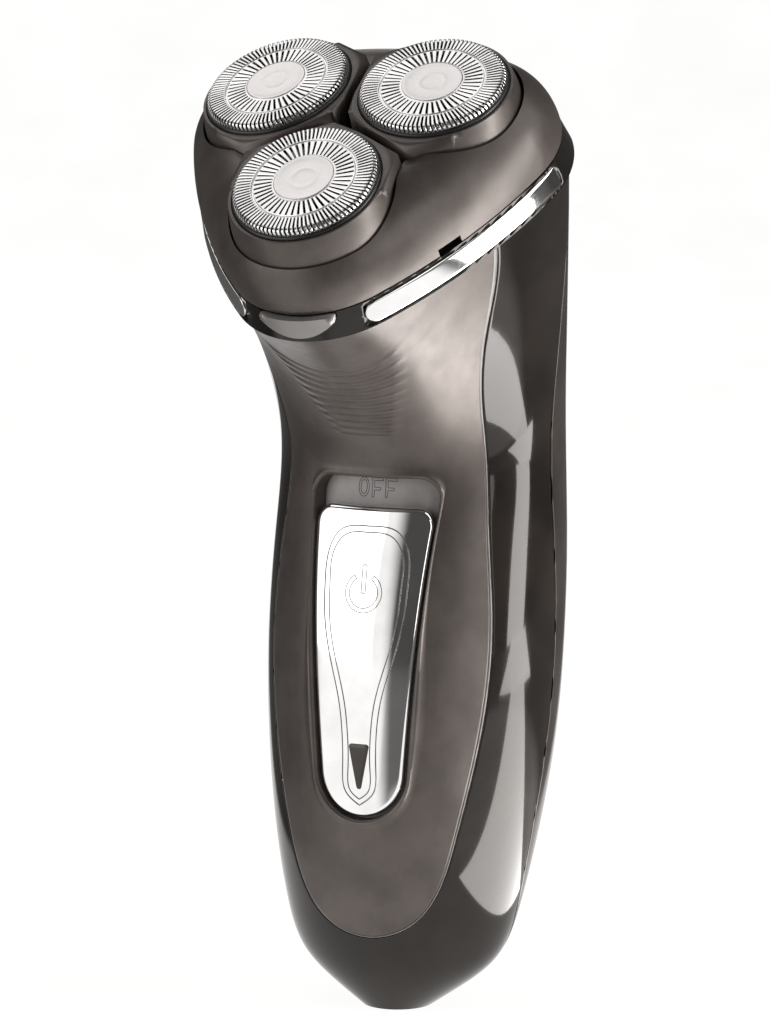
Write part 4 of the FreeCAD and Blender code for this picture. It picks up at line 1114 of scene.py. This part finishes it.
# collar strips
def stripMesh():
    # a bright band along each side of the collar; its front end is rounded
    angles = np.linspace(-88, 60, 700)
    ring = trefoil(angles)
    inside = (ring[:, 0] > 10.0) & (ring[:, 1] < 6.0)
    angles = np.linspace(angles[inside][0], angles[inside][-1], 260)
    ring = trefoil(angles)
    along = np.concatenate([[0], np.cumsum(np.linalg.norm(np.diff(ring, axis=0), axis=1))])
    low, high = -18.4, -15.1
    middle, half = (low + high) / 2, (high - low) / 2
    ends = np.minimum(along, along[-1] - along)
    first = np.clip(1 - along / 1.9, 0, 1)
    last = np.clip(1 - (along[-1] - along) / 0.5, 0, 1)
    reach = half * np.sqrt(np.clip(1 - np.maximum(first, last) ** 2, 0.0004, 1))
    across = np.array([-1, -1, -0.985, -0.95, -0.88, -0.7, -0.35, 0, 0.35, 0.7, 0.88, 0.95, 0.985,
                       1, 1])
    drop = np.array([-0.3, 0.0, 0.06, 0.10, 0.12, 0.125, 0.13, 0.13, 0.13, 0.125, 0.12, 0.10,
                     0.06, 0.0, -0.3])
    rows = []
    for share, raised in zip(across, drop):
        z = middle + reach * share
        flare = unit["flare"] * (unit["coverBase"] - z) / (unit["coverBase"] - unit["collarBase"])
        ease = np.clip(ends / 0.25, 0, 1) if raised > 0 else np.ones(len(angles))
        spots = np.array([trefoil(angle, grow)[0]
                          for angle, grow in zip(angles, flare + raised * ease)])
        rows.append(headPlace(np.column_stack([spots, z])))
    right = np.concatenate(rows)
    faces = gridFaces(len(rows), len(angles)).tolist()
    return bothSides(right, faces)


piece("collarStrips", *stripMesh(), chrome, "handle", ["collar_strips"], around=(0, -5, 133))


# CAD pieces kept in shape
def softened(node, paint, body, sharp=32.0):
    # the node's own shape, welded and smooth-shaded
    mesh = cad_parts[node].data.copy()
    work = bmesh.new()
    work.from_mesh(mesh)
    bmesh.ops.remove_doubles(work, verts=work.verts, dist=0.001 * toMetres)
    bmesh.ops.dissolve_degenerate(work, edges=work.edges, dist=0.0005 * toMetres)
    work.to_mesh(mesh)
    work.free()
    mesh.shade_smooth()
    mesh.set_sharp_from_angle(angle=math.radians(sharp))
    made = bpy.data.objects.new(node + "Soft", mesh)
    bpy.context.scene.collection.objects.link(made)
    dress(made, paint, body, [node])


softened("head_cover", panelPaint, "head")
softened("collar", collarGloss, "handle")
softened("release_button", buttonGrey, "release")
for headName in headAngles:
    softened(f"pod_{headName}", panelPaint, f"shaver_{headName}")
print("cover, collar, button and pods")

# inner pieces keep the CAD shape
innerPaints = {
    "switch_tray": trayGrey, "circuit_board": boardGreen, "slide_switch": plainSteel,
    "charge_led": ledClear, "battery_left": cellWrap, "battery_right": cellWrap,
    "battery_tabs": nickel, "charging_socket": innerBlack, "charging_prongs": nickel,
    "hinge_pin": plainSteel, "chamber_deck": innerBlack, "motor_pinion": gearWhite,
    "gear_plate": plainSteel, "gear_axles": plainSteel, "gear_posts": innerBlack,
    "motor_can": plainSteel, "motor_endcap": innerBlack, "motor_rotor": plainSteel,
    "motor_screws": nickel, "cutter_retainer": gearWhite, "retainer_knob": innerBlack,
}
# the cutters take the dark steel that paints shade into the guard caps' slots
for headName in headAngles:
    innerPaints |= {f"drive_gear_{headName}": gearWhite, f"spindle_{headName}": innerBlack,
                    f"cutter_{headName}": shadedBladeSteel, f"cutter_hub_{headName}": gearWhite}
for node, paint in innerPaints.items():
    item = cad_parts[node]
    item.data.materials.clear()
    item.data.materials.append(paint.material)

# studio
# the studio also holds the zone bounds and colours of the floor's painted glow
studio = {"floorReach": 1.5, "wallReach": 2.1, "wallTop": 1.5, "floorDrop": 0.02,
          "floorTone": 0.12, "stripLift": 0.002, "eyeReach": 0.68, "viewEdge": (0.0115, 0.0165),
          "viewStart": (-0.13, -0.09), "leftEdge": (0.80, 0.92), "asideSpot": (0.15, -0.04),
          "asideEdge": (0.0196, 0.034), "dark": (0.03, 0.029, 0.028), "bright": (0.96, 0.955, 0.95),
          "ambient": (1.0, 0.97, 0.94, 1), "ambientStrength": 0.06}


def sweepMesh():
    # a round floor that curves up into a wall
    profile = [(0.001, 0.0), (0.1, 0.0), (0.3, 0.0), (0.7, 0.0), (studio["floorReach"], 0.0)]
    bend = studio["wallReach"] - studio["floorReach"]
    for way in np.linspace(10, 90, 9):
        turn = math.radians(way)
        profile.append((studio["floorReach"] + bend * math.sin(turn), bend * (1 - math.cos(turn))))
    profile.append((studio["wallReach"], studio["wallTop"]))
    return turnedMesh([(radius * 1000, height * 1000) for radius, height in profile],
                      lambda points: points - [0, 0, studio["floorDrop"]])


# painted light: the floor glows by its own emission, brightest in the zones worked out below
floorPaint = Paint("sweep", None, Roughness=0.9, Emission_Strength=1.0)
floorPaint.put(Base_Color=(studio["floorTone"],) * 3 + (1,))
eastward, northward = floorPaint.axis(0), floorPaint.axis(1)
outReach = (eastward * eastward + northward * northward) ** 0.5 + 0.0001
# painted light: the floor glows white where the camera looks and in zones that the chrome and the
# panel reflect as bright bands, and glows dim elsewhere
beyondView = eastward * -0.4067 + northward * 0.9135
acrossView = (eastward * 0.9135 + northward * 0.4067) / (beyondView + studio["eyeReach"])
viewGlow = (acrossView * acrossView).between(*studio["viewEdge"], 1.0, 0.0)
viewGlow = viewGlow * beyondView.between(*studio["viewStart"])
alongLeft = (eastward * -0.545 + northward * -0.839) / outReach
leftGlow = alongLeft.between(*studio["leftEdge"])
asideEast, asideNorth = eastward - studio["asideSpot"][0], northward - studio["asideSpot"][1]
asideGlow = (asideEast * asideEast
             + asideNorth * asideNorth).between(*studio["asideEdge"], 1.0, 0.0)
glow = viewGlow.maths("MAXIMUM", viewGlow.maths("MAXIMUM", viewGlow, leftGlow), asideGlow)
floorTone = floorPaint.noise(60.0, 3.0).between(0.3, 0.7, 0.97, 1.0)
floorPaint.put(Emission_Color=floorPaint.mix(glow * floorTone, studio["dark"],
                                             studio["bright"]))
sweepPoints, sweepFaces = sweepMesh()
sweep = bpy.data.meshes.new("sweep")
sweep.from_pydata((sweepPoints * toMetres).tolist(), [], sweepFaces.tolist())
sweep.shade_smooth()
sweep.materials.append(floorPaint.material)
sweepObject = bpy.data.objects.new("sweep", sweep)
bpy.context.scene.collection.objects.link(sweepObject)

world = bpy.data.worlds.new("studio")
world.use_nodes = True
background = world.node_tree.nodes["Background"]
background.inputs[0].default_value = studio["ambient"]
background.inputs[1].default_value = studio["ambientStrength"]
bpy.context.scene.world = world


def areaLight(name, width, height, radiance, spot):
    # a rectangular light; radiance is what a mirror shows of it
    data = bpy.data.lights.new(name, "AREA")
    data.shape, data.size, data.size_y = "RECTANGLE", width, height
    data.energy = radiance * math.pi * width * height
    lamp = bpy.data.objects.new(name, data)
    bpy.context.scene.collection.objects.link(lamp)
    lamp.location = spot
    lamp.visible_camera = False
    return lamp


def softbox(name, azimuth, elevation, distance, width, height, radiance, aim=(0, 0, 0.09)):
    # a light on a stand, aimed at the shaver
    turn, rise = math.radians(azimuth), math.radians(elevation)
    back = Vector((math.sin(turn) * math.cos(rise), -math.cos(turn) * math.cos(rise),
                   math.sin(rise)))
    lamp = areaLight(name, width, height, radiance, Vector(aim) + back * distance)
    lamp.rotation_mode = "QUATERNION"
    lamp.rotation_quaternion = back.to_track_quat("Z", "Y")


def floorStrip(name, azimuth, near, far, width, radiance):
    # a light that lies on the floor along a line from the shaver and faces up
    turn, middle = math.radians(azimuth), (near + far) / 2
    lamp = areaLight(name, width, far - near, radiance,
                     (math.sin(turn) * middle, -math.cos(turn) * middle, studio["stripLift"]))
    lamp.rotation_euler = (math.pi, 0, turn)


floorStrip("nearStrip", 102, 0.045, 0.34, 0.085, 9.0)
floorStrip("farStrip", 100, 0.34, 0.80, 0.200, 10.0)
softbox("keyLeft", -42, 10, 1.3, 1.35, 0.9, 1.15)
softbox("panelRight", 58, 14, 1.3, 0.35, 0.9, 2.4)
softbox("stripRight", 97, 0, 0.82, 0.24, 0.50, 10.0, (0, 0, 0.25))
softbox("topRight", 100, 48, 1.2, 0.8, 0.8, 1.7)
softbox("overhead", 255, 64, 1.2, 0.9, 0.9, 1.25)

# camera
view = {"turn": 24.0, "rise": 7.5, "spot": (0, 8.5, 73.2), "away": 661.16, "aside": -0.007,
        "above": 0.01125, "sensor": 36.0, "lens": 4000 / 1030 * 36.0}
cameraTurn, cameraRise = math.radians(view["turn"]), math.radians(view["rise"])
rightWay = Vector((math.cos(cameraTurn), math.sin(cameraTurn), 0))
backWay = Vector((math.sin(cameraTurn) * math.cos(cameraRise),
                  -math.cos(cameraTurn) * math.cos(cameraRise), math.sin(cameraRise)))
upWay = backWay.cross(rightWay)
eye = Vector(view["spot"]) + view["away"] * (backWay + view["aside"] * rightWay
                                             + view["above"] * upWay)
cameraData = bpy.data.cameras.new("camera")
cameraData.sensor_width, cameraData.lens = view["sensor"], view["lens"]
cameraData.clip_start, cameraData.clip_end = 0.05, 20
camera = bpy.data.objects.new("camera", cameraData)
bpy.context.scene.collection.objects.link(camera)
turned = Matrix((rightWay, upWay, backWay)).transposed()
camera.matrix_world = Matrix.Translation(eye * toMetres) @ turned.to_4x4()
bpy.context.scene.camera = camera
bpy.context.scene.view_settings.view_transform = "Standard"
